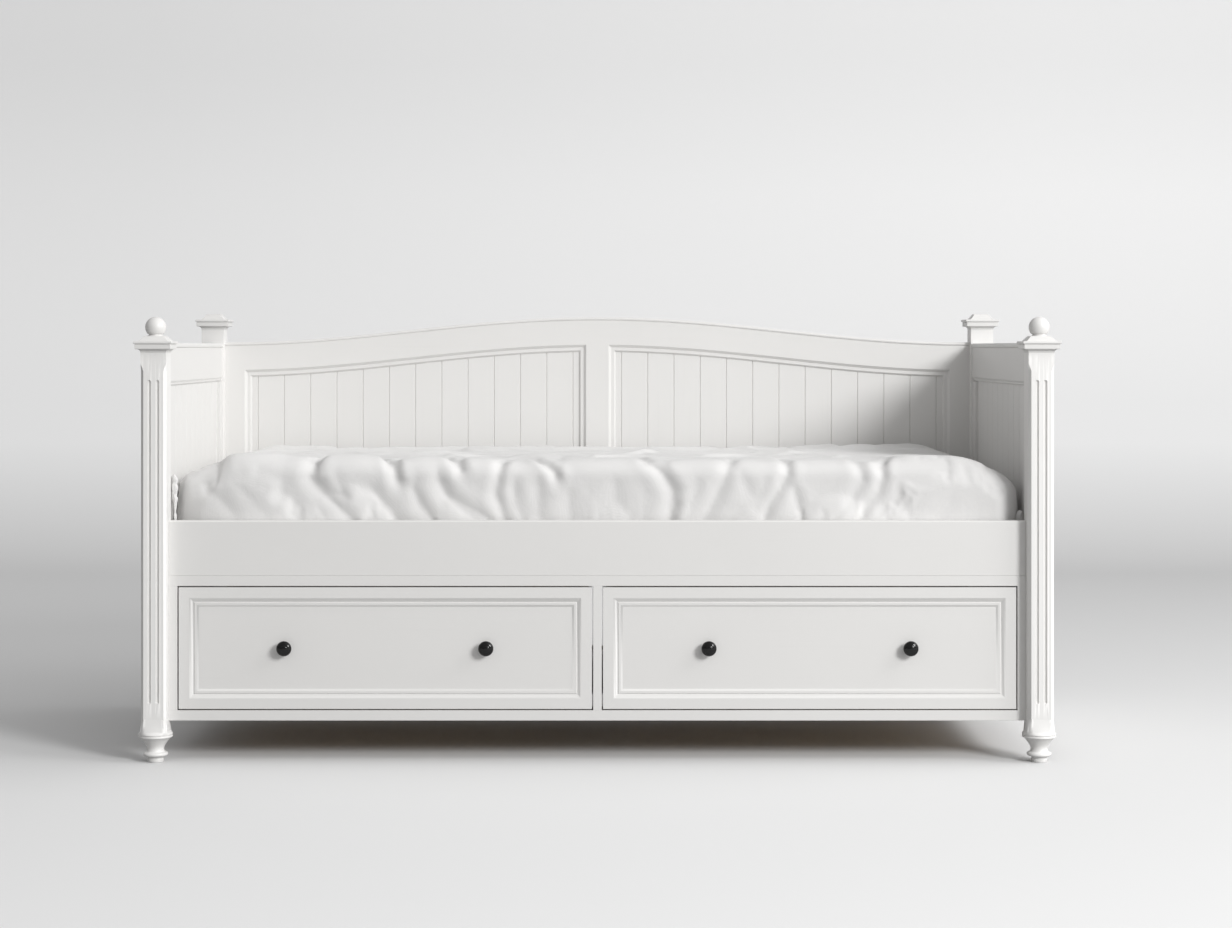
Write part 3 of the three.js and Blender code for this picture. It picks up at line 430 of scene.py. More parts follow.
def ease(piece, width, segments, degrees):
    """Sand the edges of a new piece and shade its rounded faces smooth"""
    apply_modifier(piece, "eased edges", "BEVEL", **rounding(width, segments, degrees))
    bpy.ops.object.shade_smooth_by_angle(angle=math.radians(40.0))
    apply_modifier(piece, "flat faces", "WEIGHTED_NORMAL", keep_sharp=True, weight=100)


def ease_node(piece, width):
    """The same on a piece that keeps its mesh: live modifiers merge, flatten and round it"""
    add_modifier(piece, "merged corners", "WELD", merge_threshold=1e-5)
    add_modifier(piece, "flat faces", "DECIMATE", decimate_type="DISSOLVE",
                 angle_limit=math.radians(0.3))
    add_modifier(piece, "eased edges", "BEVEL", **rounding(width, 2, 28.0))


def coat(piece, finish):
    piece.data.materials.clear()
    piece.data.materials.append(finishes[finish])


def dress(piece, finish, body):
    coat(piece, finish)
    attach(piece, body)


def stand_in(piece, craft, stem, finish, body):
    """Put a dressed copy on the left and on the right, its foot in the middle of the node's box, and
    drop the piece itself"""
    for side in SIDES:
        name = f"{stem}_{side}"
        low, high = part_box(name)
        copy = copy_of(piece, f"{craft}_{name}", ((low.x + high.x) / 2, (low.y + high.y) / 2, low.z))
        dress(copy, finish, body)
        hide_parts(name)
    bpy.data.objects.remove(piece)


def cut_away(piece, cutter):
    apply_modifier(piece, "cut", "BOOLEAN", operation="DIFFERENCE", solver="EXACT", object=cutter)
    bpy.data.objects.remove(cutter)


def profile(*steps):
    """Rows in metres from steps in millimetres, each a height and a width. A step that also has a way
    and a count is reached by a quarter curve, which starts out along the height ("up") or along the
    width ("out")"""
    rows = []
    low, wide = steps[0][:2]
    for high, broad, *curve in steps:
        if curve:
            start, count = curve
            for k in range(1, count + 1):
                angle = math.pi / 2 * k / count
                fast, slow = math.sin(angle), 1 - math.cos(angle)
                up, out = (fast, slow) if start == "up" else (slow, fast)
                rows.append(((low + (high - low) * up) * MM, (wide + (broad - wide) * out) * MM))
        else:
            rows.append((high * MM, broad * MM))
        low, wide = high, broad
    return rows


# Posts

FOOT_ROWS = profile(
    (0, 34), (1.6, 37.4, "out", 3),
    (6.2, 38.6), (7.2, 36.8), (9.2, 36.8), (14.4, 47, "up", 4),
    (14.9, 50.4), (19.2, 58, "out", 5), (23.6, 49, "up", 5),
    (24.3, 46), (31.8, 39.6, "out", 5),
    (34, 40.2), (37, 42.2), (40, 45.2), (43.5, 49.6), (47, 54.6), (50.5, 60), (54, 65.8), (57, 71),
    (57.4, 72.4), (60.6, 80.2, "out", 4), (63.2, 78.0, "up", 3),
    (63.6, 76.0), (64.6, 76.0), (65.0, 79.4), (67.0, 80.6, "up", 3))
# Height, width, and how round the ring still is, from the collar up to the square post
FLARE_ROWS = [(70.2, 75.0, 0.7), (73.2, 69.4, 0.36), (74.0, 68.8, 0.3), (80, 66.2, 0.2),
              (87, 63.8, 0.1), (95, 61.6, 0.04), (102.6, 60.2, 0.0)]
SQUARE_FROM = 104.2  # height at which the post is square
POST_WIDTH = 60.0
CORNER_CUT = 0.23  # share of the flare's half width that the chamfer takes on a front post
CHAMFER_FROM = 102.7 * MM
CHAMFER_BELOW_TOP = 18 * MM
CHAMFER_RUN_OUT = 25 * MM
FLUTE_FROM = 140 * MM
FLUTE_BELOW_TOP = 64 * MM
RING = 48


def square_ring(width, round_share, cut):
    """Places of a ring that goes from a square, its corners cut off or not, to a circle as wide"""
    ring = []
    for k in range(RING):
        angle = 2 * math.pi * k / RING
        across, deep = math.cos(angle), math.sin(angle)
        square = min(1 / max(abs(across), abs(deep)), (2 - cut) / (abs(across) + abs(deep)))
        reach = width / 2 * (square + (1 - square) * round_share)
        ring.append((reach * across, reach * deep))
    return ring


def post_body(name, height, cut):
    """The turned foot is extruded ring by ring; the flare blends its rings into the square post"""
    piece = build_up(name, FOOT_ROWS, RING)
    take(piece)
    low = FOOT_ROWS[-1][0]
    pick(piece, "FACE", lambda face: len(face.vertices) == RING and face.center.z > low / 2)
    square = [(SQUARE_FROM, POST_WIDTH, 0.0), (height / MM, POST_WIDTH, 0.0)]
    for high, width, round_share in FLARE_ROWS + square:
        mode("EDIT")
        extrude(0, 0, high * MM - low)
        mode("OBJECT")
        low = high * MM
        ring = square_ring(width * MM, round_share, cut if high < SQUARE_FROM else 0)
        for corner in [v for v in piece.data.vertices if v.select]:
            angle = math.atan2(corner.co.y, corner.co.x) % (2 * math.pi)
            corner.co.x, corner.co.y = ring[round(angle * RING / (2 * math.pi)) % RING]
    settle(piece)
    return piece


def flute_cutter(offset, low, high, sizes):
    """A rod with round ends: a ball whose upper half is drawn up"""
    clear_selection()
    radius = sizes.flute_radius
    depth = -POST_WIDTH / 2 * MM - (radius - sizes.flute_depth)
    bpy.ops.mesh.primitive_uv_sphere_add(segments=24, ring_count=16, radius=radius,
                                         location=(offset, depth, low + radius))
    rod = bpy.context.object
    for corner in rod.data.vertices:
        if corner.co.z > 1e-6:
            corner.co.z += high - low - 2 * radius
    settle(rod)
    return rod


def chamfer_cutter(side, low, high, width):
    """A bar across one front corner whose top end runs out"""
    reach = 20 * MM
    size = Vector((reach, reach, high - low - CHAMFER_RUN_OUT))
    bar = block("chamfer", -size / 2, size / 2)
    pick(bar, "FACE", lambda face: face.normal.z > 0.9)
    extrude(width, 0, CHAMFER_RUN_OUT)
    mode("OBJECT")
    gap = POST_WIDTH / 2 * MM * math.sqrt(2) - width * math.sqrt(0.5) + reach / 2
    put(bar, (side * gap * math.sqrt(0.5), -gap * math.sqrt(0.5), (low + high - CHAMFER_RUN_OUT) / 2),
        (0, 0, math.radians(-45 if side > 0 else 225)))
    return bar


def make_posts(sizes):
    front_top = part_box("post_front_left")[1].z
    back_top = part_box("post_back_left")[1].z
    front = post_body("front post", front_top, CORNER_CUT)
    for hand in (-1, 1):
        offset = hand * sizes.flute_spacing / 2
        cut_away(front, flute_cutter(offset, FLUTE_FROM, front_top - FLUTE_BELOW_TOP, sizes))
        top = front_top - CHAMFER_BELOW_TOP
        cut_away(front, chamfer_cutter(hand, CHAMFER_FROM, top, sizes.chamfer))
    back = post_body("back post", back_top, 0)
    for piece, row in ((front, "front"), (back, "back")):
        ease(piece, sizes.fine_edge, 2, 35.0)
        # The posts take the lighter copy of the paint, which is painted light
        stand_in(piece, "turned", f"post_{row}", "post_paint_painted_lighter", "frame")


# Caps and finials

CAP_ROWS = profile(
    (0, 60), (0.6, 61), (8.0, 76.5, "up", 6), (8.0, 80.6), (10.2, 84, "out", 3),
    (18.4, 84), (20.4, 80.8, "up", 3), (20.4, 86.4), (22.4, 90, "out", 3),
    (24.8, 90), (27, 86.0, "up", 3))
ROOF_ROWS = profile((27, 68), (28.4, 68), (28.8, 66.4), (38.6, 47), (39, 45.4))
BUTTON_ROWS = profile((27, 60), (28.6, 60), (29.2, 56.6), (37.6, 42.6), (41.8, 33, "up", 5), (42, 26))
FINIAL_ROWS = profile((0, 39), (0.8, 38.6), (3.8, 30.6, "out", 5))
BALL_RADIUS = 24.5 * MM


def make_caps(sizes):
    for row, rows in (("front", CAP_ROWS + ROOF_ROWS), ("back", CAP_ROWS + BUTTON_ROWS)):
        piece = build_up(f"{row} cap", rows)
        ease(piece, sizes.fine_edge, 3, 24.0)
        stand_in(piece, "moulded", f"cap_{row}", "paintX", "frame")


def make_finials():
    low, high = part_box("ball_finial_left")
    centre = (high.z - low.z) - BALL_RADIUS
    start = math.asin((FINIAL_ROWS[-1][0] - centre) / BALL_RADIUS)
    rows = list(FINIAL_ROWS)
    steps = 22
    for k in range(1, steps):
        angle = start + (math.pi / 2 - start) * k / steps
        rows.append((centre + BALL_RADIUS * math.sin(angle), 2 * BALL_RADIUS * math.cos(angle)))
    rows.append((centre + BALL_RADIUS, 0))
    piece = build_up("ball finial", rows, RING)
    take(piece)
    bpy.ops.object.shade_smooth_by_angle(angle=math.radians(50.0))
    stand_in(piece, "turned", "ball_finial", "paintZ", "frame")


# Flat wooden pieces keep their meshes: eased edges and a finish along their grain

def dress_nodes(names, finish, width):
    for name in names:
        coat(nodes[name], finish)
        if width:
            ease_node(nodes[name], width)


def make_back(sizes):
    fine, eased = sizes.fine_edge, sizes.eased_edge
    dress_nodes(["back_top_rail", "back_bottom_rail"], "paintX", fine)
    dress_nodes([f"back_stile_{where}" for where in ("left", "centre", "right")], "paintZ", fine)
    dress_nodes([f"back_boards_{side}" for side in SIDES], "paintZ", 0)
    dress_nodes(["back_lower_rail"], "paintX", eased)


def make_sides(sizes):
    for side in SIDES:
        dress_nodes([f"side_top_rail_{side}", f"side_bottom_rail_{side}"], "paintY", sizes.fine_edge)
        dress_nodes([f"side_boards_{side}"], "paintZ", 0)


def make_rails(sizes):
    eased, fine = sizes.eased_edge, sizes.fine_edge
    dress_nodes(["front_rail"], "paintX", eased)
    dress_nodes(["carcass_top_rail", "carcass_bottom_rail"], "paintX", fine)
    dress_nodes(["carcass_side_left", "carcass_side_right", "carcass_divider"], "paintZ", fine)
    dress_nodes(["slat_ledge_front", "slat_ledge_back"], "pineX", eased)
    dress_nodes(["slatted_base"], "pineY", eased)


# Drawers

DRAWER_FRAME = 24.5 * MM
# Insets of the sunk panel, going inwards: a wide slope, a low bead and a narrow slope, each with how
# far in and how deep
PANEL_INSETS = [(1.3, -0.4), (4.4, -2.7), (4.4, -2.9), (0.9, -0.3), (0.9, 1.7), (5.0, 0.0), (0.9, -0.3),
                (3.6, -2.4), (1.4, -0.7)]


def make_drawer_fronts(sizes):
    for side in SIDES:
        low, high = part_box(f"drawer_{side}_front")
        planed = Vector((sizes.drawer_ease, 0, sizes.drawer_ease))
        piece = block(f"moulded_drawer_front_{side}", low + planed, high - planed)
        pick(piece, "FACE", lambda face: face.normal.y < -0.9)
        bpy.ops.mesh.inset(thickness=DRAWER_FRAME, depth=0)
        for inwards, deep in PANEL_INSETS:
            bpy.ops.mesh.inset(thickness=inwards * MM, depth=deep * MM)
        mode("OBJECT")
        ease(piece, sizes.fine_edge, 3, 60.0)
        dress(piece, "paintX", f"drawer_{side}")
        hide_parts(f"drawer_{side}_front")


def make_drawer_boxes(sizes):
    for side in SIDES:
        for where in ("outer", "inner"):
            dress_nodes([f"drawer_{side}_side_{where}"], "pineY", sizes.fine_edge)
        dress_nodes([f"drawer_{side}_back", f"drawer_{side}_bottom"], "pineX", sizes.fine_edge)


KNOB_ROWS = profile(
    (0, 21.0), (2.0, 22, "out", 2), (3.2, 18, "up", 3), (8.0, 13, "out", 5), (12.6, 26, "up", 6),
    (18.6, 36, "out", 7), (27.2, 16, "up", 8), (29, 2, "up", 5), (29, 0))


def make_knobs():
    piece = build_up("knob", KNOB_ROWS, RING)
    put(piece, (0, 0, 0), (math.radians(90), 0, 0))
    take(piece)
    bpy.ops.object.shade_smooth_by_angle(angle=math.radians(60.0))
    for side in SIDES:
        for which in "ab":
            name = f"knob_{side}_{which}"
            low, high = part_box(name)
            knob = copy_of(piece, f"turned_{name}", ((low.x + high.x) / 2, high.y, (low.z + high.z) / 2))
            dress(knob, "enamel", f"drawer_{side}")
            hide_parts(name)
    bpy.data.objects.remove(piece)


STEEL_EDGE = 0.4 * MM
NYLON_EDGE = 0.5 * MM


def make_runners():
    for side in SIDES:
        for where in ("outer", "inner"):
            dress_nodes([f"runner_{side}_{where}"], "steel", STEEL_EDGE)
            rollers = [f"{row}_roller_{side}_{where}" for row in ("front", "rear")]
            dress_nodes(rollers, "nylon", NYLON_EDGE)


# Mattress. A place on its cover is told by x and by the way up the front from its bottom edge, over
# the rounded top edge and on across the top, in millimetres.

COVER_EDGE = 34 * MM
COVER_CORNER = 40 * MM
# How the blank differs from the mattress's box, at the low and at the high corner
BLANK_LOW = Vector((-0.010, 0.001, 0.0))
BLANK_HIGH = Vector((0.008, -0.001, -0.003))
STILL_BELOW = 3 * MM  # the underside keeps the blank's shape
HELD_BELOW = 6 * MM  # and is held while the cloth settles
# A fold: half its width, its depth, and its course from the top downwards
FOLDS = [
    (14, 3, [(-953, 168), (-894, 109), (-852, 61)]),
    (14, 3, [(-863, 154), (-828, 116), (-776, 61)]),
    (15, 3.6, [(-814, 161), (-766, 109), (-710, 61)]),
    (16, 10.2, [(-628, 330), (-674, 200), (-684, 161), (-639, 113), (-585, 62), (-560, 20)]),
    (14, 3, [(-627, 185), (-609, 134), (-557, 71)]),
    (10, 12, [(-530, 300), (-501, 226), (-482, 183), (-478, 160), (-468, 140)]),
    (15, 4.2, [(-550, 154), (-519, 106), (-481, 61), (-460, 20)]),
    (13, 4.8, [(-425, 168), (-437, 134), (-421, 95), (-390, 61), (-375, 20)]),
    (17, 9, [(-383, 196), (-376, 154), (-352, 106), (-314, 74), (-275, 50), (-240, 20)]),
    (10, 9.6, [(-372, 300), (-341, 208), (-326, 185), (-318, 168)]),
    (12, 7.8, [(-215, 260), (-227, 200), (-236, 161), (-242, 120), (-227, 78), (-210, 30)]),
    (16, 4.8, [(-192, 168), (-199, 134), (-192, 92), (-170, 40)]),
    (18, 4.2, [(-133, 168), (-143, 127), (-140, 40)]),
    (9, 12, [(-160, 240), (-115, 189), (-102, 172), (-96, 150)]),
    (21, 3.6, [(-63, 141), (-70, 99), (-60, 40)]),
    (21, 3.6, [(44, 172), (41, 129), (41, 40)]),
    (14, 10.2, [(95, 290), (120, 205), (145, 180), (160, 160), (178, 129), (176, 93), (160, 30)]),
    (12, 4.8, [(199, 107), (178, 79), (170, 40)]),
    (15, 7.2, [(325, 290), (313, 205), (303, 158), (281, 115), (256, 63), (240, 20)]),
    (16, 3.6, [(249, 158), (227, 115), (205, 40)]),
    (14, 3, [(335, 198), (342, 158), (371, 107)]),
    (12, 8.4, [(430, 290), (448, 215), (451, 169), (434, 133), (410, 100), (390, 40)]),
    (14, 3.6, [(407, 165), (392, 129), (370, 76)]),
    (14, 5.4, [(461, 154), (470, 115), (488, 40)]),
    (14, 6.6, [(600, 260), (619, 195), (629, 154), (602, 107), (563, 60), (545, 20)]),
    (12, 8.4, [(700, 270), (683, 215), (672, 189), (677, 165), (665, 125), (633, 90), (610, 30)]),
    (16, 3.6, [(784, 136), (730, 63)]),
    (16, 3, [(852, 115), (800, 55)]),
]
FOLD_SHARE = 0.9
FELT_WITHIN = 60  # a fold isn't felt further from its course
# The ridges beside a fold: their middle and width in widths of the fold, and their share
RIDGES = [(2.0, 1.15, 1.0), (-2.1, 1.25, 0.8)]
RIDGE_SHARE = 0.3
# Lobes along the front's top edge: from x to x, and how far the cover stands up there. They stand
# highest on the line and end so far above and below it.
LOBE_LINE, LOBE_ABOVE, LOBE_BELOW = 215, 60, 42
LOBES = [(-905, -672, 16), (-668, -500, 15), (-470, -335, 11), (-322, -235, 8), (-215, -120, 1),
         (-85, 150, 6), (165, 320, 4), (326, 440, 3), (455, 665, 3), (685, 930, 11)]
# Rolls on top: middle x, way back from the front edge, half length, half width, turn, height
ROLLS = [(-420, 430, 70, 20, 10, 10), (-290, 500, 70, 22, -8, 14), (-136, 100, 85, 18, -10, 15),
         (-545, 240, 60, 13, 12, 8), (-700, 330, 120, 30, -10, 8), (105, 330, 60, 12, 38, 11),
         (205, 520, 90, 20, 12, 11), (370, 560, 110, 30, 0, 10), (675, 520, 75, 26, -12, 17),
         (480, 300, 70, 14, 25, 10), (560, 160, 60, 13, -20, 9), (20, 160, 60, 13, 30, 9),
         (-330, 190, 55, 13, 30, 9), (-880, 400, 90, 40, 20, 5), (300, 170, 70, 13, 24, 9),
         (-20, 420, 80, 16, -16, 9), (-600, 130, 55, 12, 20, 7), (760, 220, 110, 22, 8, 6)]
ROLLS_FADE = 35  # over this way from the top's edge they rise to their height
# The left and the right end: how far it drops, over which length, how suddenly, and how far the front
# pulls in there. The pull reaches further than the drop.
ENDS = {-1: (44, 140, 1.2, 30), 1: (58, 170, 2.0, 8)}
PULL_REACH = 1.7
DROP_CURVE = 1.5
TIGHT_END = 45  # over this length of an end the folds fade out
BACK_SHARE = 0.6  # how deep the folds of the back are against those of the front


def bell(value):
    return math.exp(-value * value)


def crease(value):
    """A bell with a sharper tip"""
    return 0.5 * bell(value) + 0.5 * math.exp(-1.7 * abs(value))


def way_up(place, low, high):
    """How far up the cover a place is, and which way is outwards there"""
    straight = high.z - COVER_EDGE
    middle = (low.y + high.y) / 2
    hand = 1 if place.y < middle else -1
    depth = place.y - low.y if hand > 0 else high.y - place.y
    if place.z <= straight:
        return place.z - low.z, Vector((0, -hand, 0)), hand
    if depth >= COVER_EDGE:
        return straight - low.z + COVER_EDGE * math.pi / 2 + depth - COVER_EDGE, Vector((0, 0, 1)), hand
    angle = math.atan2(place.z - straight, COVER_EDGE - depth)
    outwards = Vector((0, -hand * math.cos(angle), math.sin(angle)))
    return straight - low.z + COVER_EDGE * angle, outwards, hand


def from_course(x, up, course):
    """Distance from a fold's course, signed to the right, and the share of the course gone by"""
    best, total = None, 0.0
    for (ax, au), (bx, bu) in zip(course, course[1:]):
        run, rise = bx - ax, bu - au
        long = math.hypot(run, rise)
        share = max(0.0, min(1.0, ((x - ax) * run + (up - au) * rise) / (long * long)))
        off_x, off_up = x - ax - share * run, up - au - share * rise
        distance = math.hypot(off_x, off_up)
        if best is None or distance < best[0]:
            side = 1 if off_x * -rise + off_up * run > 0 else -1
            best = (distance, side, total + share * long)
        total += long
    return best[0] * best[1], best[2] / total


def fold_depth(x, up):
    """How far the cover sinks in at a place, all in millimetres"""
    sink = 0.0
    for half, deep, course in FOLDS:
        across = [bend[0] for bend in course]
        if not course[-1][1] - FELT_WITHIN < up < course[0][1] + FELT_WITHIN:
            continue
        if not min(across) - FELT_WITHIN < x < max(across) + FELT_WITHIN:
            continue
        off, gone = from_course(x, up, course)
        reach = half * (0.8 + 0.5 * gone)
        fade = min(1.0, gone / 0.22, (1 - gone) / 0.12 + 0.35)
        ridge = 0.0
        for middle, wide, share in RIDGES:
            ridge += share * bell((off - middle * reach) / (wide * reach))
        sink += FOLD_SHARE * deep * fade * (crease(off / reach) - RIDGE_SHARE * ridge)
    return sink


def lobe_height(x, up):
    """The full lobes that the cover makes along the top edge"""
    edge = (up - LOBE_LINE) / (LOBE_ABOVE if up > LOBE_LINE else LOBE_BELOW)
    height = 0.0
    for start, end, tall in LOBES:
        if start < x < end:
            share = (x - start) / (end - start)
            height += tall * (math.sin(math.pi * share ** 0.75) ** 0.6)
    return height * bell(edge)


def roll_height(x, back):
    """Soft rolls and a wandering unevenness of the cover on top"""
    height = 0.0
    for middle, depth, long, wide, turn, tall in ROLLS:
        run, rise = x - middle, back - depth
        if math.hypot(run, rise) > 3 * long:
            continue
        cosine, sine = math.cos(math.radians(turn)), math.sin(math.radians(turn))
        length_on, width_on = run * cosine + rise * sine, rise * cosine - run * sine
        height += tall * bell(length_on / long) * bell(width_on / wide)
    drift = noise.noise(Vector((x / 230, back / 150, 5.0)))
    wander = abs(noise.noise(Vector(((x + 60 * drift) / 150 + back / 400, back / 95, 9.0))))
    return height + 5 * drift + 5 * max(0.0, 1 - 3.0 * wander) ** 2 - 3


def cover_blank(name, low, high, cell):
    """The closed blank of the mattress: a block with rounded edges, cut into even cells"""
    piece = block(name, low, high)

    def heights(edge):
        return sorted(piece.data.vertices[end].co.z for end in edge.vertices)

    def upright(edge):
        bottom, top = heights(edge)
        return top - bottom > 0.1

    def on_top(edge):
        return heights(edge)[0] > high.z - 1e-4

    for width, segments, wanted in ((COVER_CORNER, 7, upright), (COVER_EDGE, 6, on_top)):
        pick(piece, "EDGE", wanted)
        bpy.ops.mesh.bevel(offset=width, segments=segments, affect="EDGES", clamp_overlap=False)
        mode("OBJECT")
    piece.data.remesh_voxel_size = cell
    piece.data.remesh_voxel_adaptivity = 0.0
    bpy.ops.object.voxel_remesh()
    return piece


def fill_end(place, low, high):
    """Fill out the round top edge of an end, so that the end stands nearly square"""
    side = 1 if place.x > 0 else -1
    middle_x = (high.x if side > 0 else low.x) - side * COVER_EDGE
    middle_z = high.z - COVER_EDGE
    out, up = (place.x - middle_x) * side / COVER_EDGE, (place.z - middle_z) / COVER_EDGE
    if out > 0 and up > 0:
        fuller = 1 + 0.5 * out * up
        place.x = middle_x + side * min(1.0, out * fuller) * COVER_EDGE
        place.z = middle_z + min(1.0, up * fuller) * COVER_EDGE


def shape_cover(place, low, high):
    """Move one place of the blank: folds, lobes and rolls, and the drop and pull at the ends"""
    fill_end(place, low, high)
    up, outwards, hand = way_up(place, low, high)
    x, up, back = hand * place.x / MM, up / MM, (place.y - low.y) / MM
    side = 1 if place.x > 0 else -1
    from_end = (high.x - place.x if side > 0 else place.x - low.x) / MM
    loose = min(1.0, from_end / TIGHT_END)
    out = lobe_height(x, up) - fold_depth(x, up)
    if hand < 0:
        out *= BACK_SHARE
    if outwards.z > 0.99:
        inside = min(back, (high.y - low.y) / MM - back) - COVER_EDGE / MM
        out += roll_height(place.x / MM, back) * min(1.0, inside / ROLLS_FADE)
    drop, reach, power, pull = ENDS[side]
    down = drop * max(0.0, 1 - from_end / reach) ** power
    tall = (place.z - low.z) / (high.z - low.z)
    if place.y < 0:
        place.y += pull * max(0.0, 1 - from_end / (PULL_REACH * reach)) ** 2 * MM
    place += outwards * out * loose * MM
    place.z -= down * tall ** DROP_CURVE * MM


def make_mattress(sizes):
    low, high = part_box("mattress")
    low, high = low + BLANK_LOW, high + BLANK_HIGH
    piece = cover_blank("mattress_cover", low, high, sizes.cover_cell)
    for corner in piece.data.vertices:
        if corner.co.z >= low.z + STILL_BELOW:
            shape_cover(corner.co, low, high)
    finish_cover(piece, low, high, sizes)
    dress(piece, "cotton", "frame")
    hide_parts("mattress")
    make_hem(low)


def within(value, low, high, give):
    """Hold a value between two limits that give way softly"""
    over, under = max(0.0, value - high), max(0.0, low - value)
    return value + give * math.tanh(over / give) - over - give * math.tanh(under / give) + under


def finish_cover(piece, low, high, sizes):
    """Let the cover settle as cloth over its filling, then make it finer and keep it in its bounds"""
    settle_cloth(piece, low, sizes)
    apply_modifier(piece, "finer cells", "SUBSURF", levels=1, render_levels=1)
    for corner in piece.data.vertices:
        place = corner.co
        place.x = within(place.x, low.x, high.x, 5 * MM)
        place.y = within(place.y, low.y, high.y, 9 * MM)
        place.z = max(low.z, place.z)
    bpy.ops.object.shade_smooth()


# The gathered hem that shows beside the cover's ends: height and width of its lumps
HEM_ROWS = {
    "left": [(8, 4), (14, 7), (30, 7.6), (44, 6.8), (58, 8), (72, 7), (88, 7.6), (98, 9), (104, 13),
             (110, 15), (116, 12), (122, 11), (128, 15), (135, 16), (141, 13), (146, 11), (152, 14),
             (158, 13), (164, 8), (168, 3)],
    "right": [(8, 5), (16, 12), (30, 13), (48, 14), (62, 17), (70, 18), (76, 13), (81, 5)],
}
HEM_FROM_MIDDLE = 1.0055
HEM_FROM_FRONT = 20 * MM
HEM_WAVER = 2.4 * MM
HEM_SEED = 12  # without a seed the vector noise would start from the clock


def make_hem(low):
    noise.seed_set(HEM_SEED)
    for side, hand in (("left", -1), ("right", 1)):
        piece = build_up(f"cover_hem_{side}", profile(*HEM_ROWS[side]), 20)
        apply_modifier(piece, "finer rings", "SUBSURF", levels=2, render_levels=2)
        for corner in piece.data.vertices:
            place = corner.co
            waver = noise.noise_vector(Vector((place.x * 150, place.y * 150, place.z * 90 + hand)))
            place += waver * HEM_WAVER
        bpy.ops.object.shade_smooth()
        put(piece, (hand * HEM_FROM_MIDDLE, low.y + HEM_FROM_FRONT, low.z))
        dress(piece, "cotton", "frame")


def settle_cloth(piece, low, sizes):
    """Run the cloth under a light pressure from within, with its bottom held, and cap its travel"""
    scene = bpy.context.scene
    before = [corner.co.copy() for corner in piece.data.vertices]
    held = piece.vertex_groups.new(name="rests on the slats")
    bottom = [corner.index for corner in piece.data.vertices if corner.co.z < low.z + HELD_BELOW]
    held.add(bottom, 1.0, "REPLACE")
    cloth = piece.modifiers.new("cloth", "CLOTH")
    settings = cloth.settings
    settings.vertex_group_mass = held.name
    settings.quality = 4
    settings.mass = 0.2
    settings.bending_stiffness = 0.4
    settings.shrink_min = settings.shrink_max = -0.018
    settings.use_pressure = True
    settings.uniform_pressure_force = 4.0
    settings.effector_weights.gravity = 0.0
    cloth.collision_settings.use_collision = False
    cloth.point_cache.frame_start = 1
    cloth.point_cache.frame_end = sizes.cover_frames
    for moment in range(1, sizes.cover_frames + 1):
        scene.frame_set(moment)
    take(piece)
    bpy.ops.object.modifier_apply(modifier=cloth.name)
    for corner, start in zip(piece.data.vertices, before):
        travel = corner.co - start
        if travel.length > sizes.cover_reach:
            corner.co = start + travel * (sizes.cover_reach / travel.length)
    scene.frame_set(1)


# Stage: camera, floor, backdrop and lights

def add_object(name, data):
    made = bpy.data.objects.new(name, data)
    bpy.context.collection.objects.link(made)
    return made


def make_camera():
    data = bpy.data.cameras.new("camera")
    camera = add_object("camera", data)
    data.lens = 68.63
    data.sensor_width = 36.0
    data.shift_x = 0.0151
    data.shift_y = -0.0942
    camera.location = (0.0, -5.955, 0.974)
    camera.rotation_euler = (math.radians(90), 0, 0)
    bpy.context.scene.camera = camera


def make_backdrop(colours):
    """Floor and wall in one sweep: a strip whose back edge is extruded up a curve, with a faint painted
    light on the wall
    """
    clear_selection()
    bpy.ops.mesh.primitive_plane_add(size=1, location=(0, 0, 0))
    sweep = bpy.context.object
    sweep.name = "studio_sweep"
    width, front, back = 30, -9.0, 4.2
    radius, steps, rise = 2.5, 16, 8
    for corner in sweep.data.vertices:
        corner.co.x *= width
        corner.co.y = back if corner.co.y > 0 else front
    pick(sweep, "EDGE", lambda edge: all(sweep.data.vertices[end].co.y > 0 for end in edge.vertices))
    for k in range(steps):
        a, b = math.pi / 2 * k / steps, math.pi / 2 * (k + 1) / steps
        extrude(0, radius * (math.sin(b) - math.sin(a)), radius * (math.cos(a) - math.cos(b)))
    extrude(0, 0, rise)
    mode("OBJECT")
    bpy.ops.object.shade_smooth()
    finish = Finish("studio_floor", Roughness=0.9, Specular_IOR_Level=0.1)
    rays = finish.node("ShaderNodeLightPath").outputs
    seen = Signal(finish, rays["Is Camera Ray"])
    for other in ("Is Glossy Ray", "Is Transmission Ray"):
        seen = seen.math("MAXIMUM", seen, rays[other])
    across, _, height = finish.node("ShaderNodeSeparateXYZ", None, {0: finish.place}).outputs
    shown = finish.mix(finish.range(height, 0.0, 0.5), tuple(colours.floor), tuple(colours.wall))
    # Painted light: the wall seen by the camera glows faintly, more to the right and higher up, where
    # more light falls on it
    painted_light_glow = finish.range(height, 0.7, 1.8) * finish.range(across, -2.4, 2.4, 0.4, 1.3) * seen
    finish.shader.inputs["Emission Strength"].default_value = 0.07
    seen_or_not = finish.mix(seen, tuple(colours.bounce), shown)
    sweep.data.materials.append(finish.feed(Base_Color=seen_or_not, Emission_Color=painted_light_glow))


def make_light(name, place, size, power):
    """A round lamp that looks at the middle of the daybed"""
    data = bpy.data.lights.new(name, "AREA")
    data.shape = "DISK"
    data.size = size
    data.energy = power
    lamp = add_object(name, data)
    lamp.location = place
    lamp.rotation_euler = (Vector((0, 0, 0.5)) - Vector(place)).to_track_quat("-Z", "Y").to_euler()


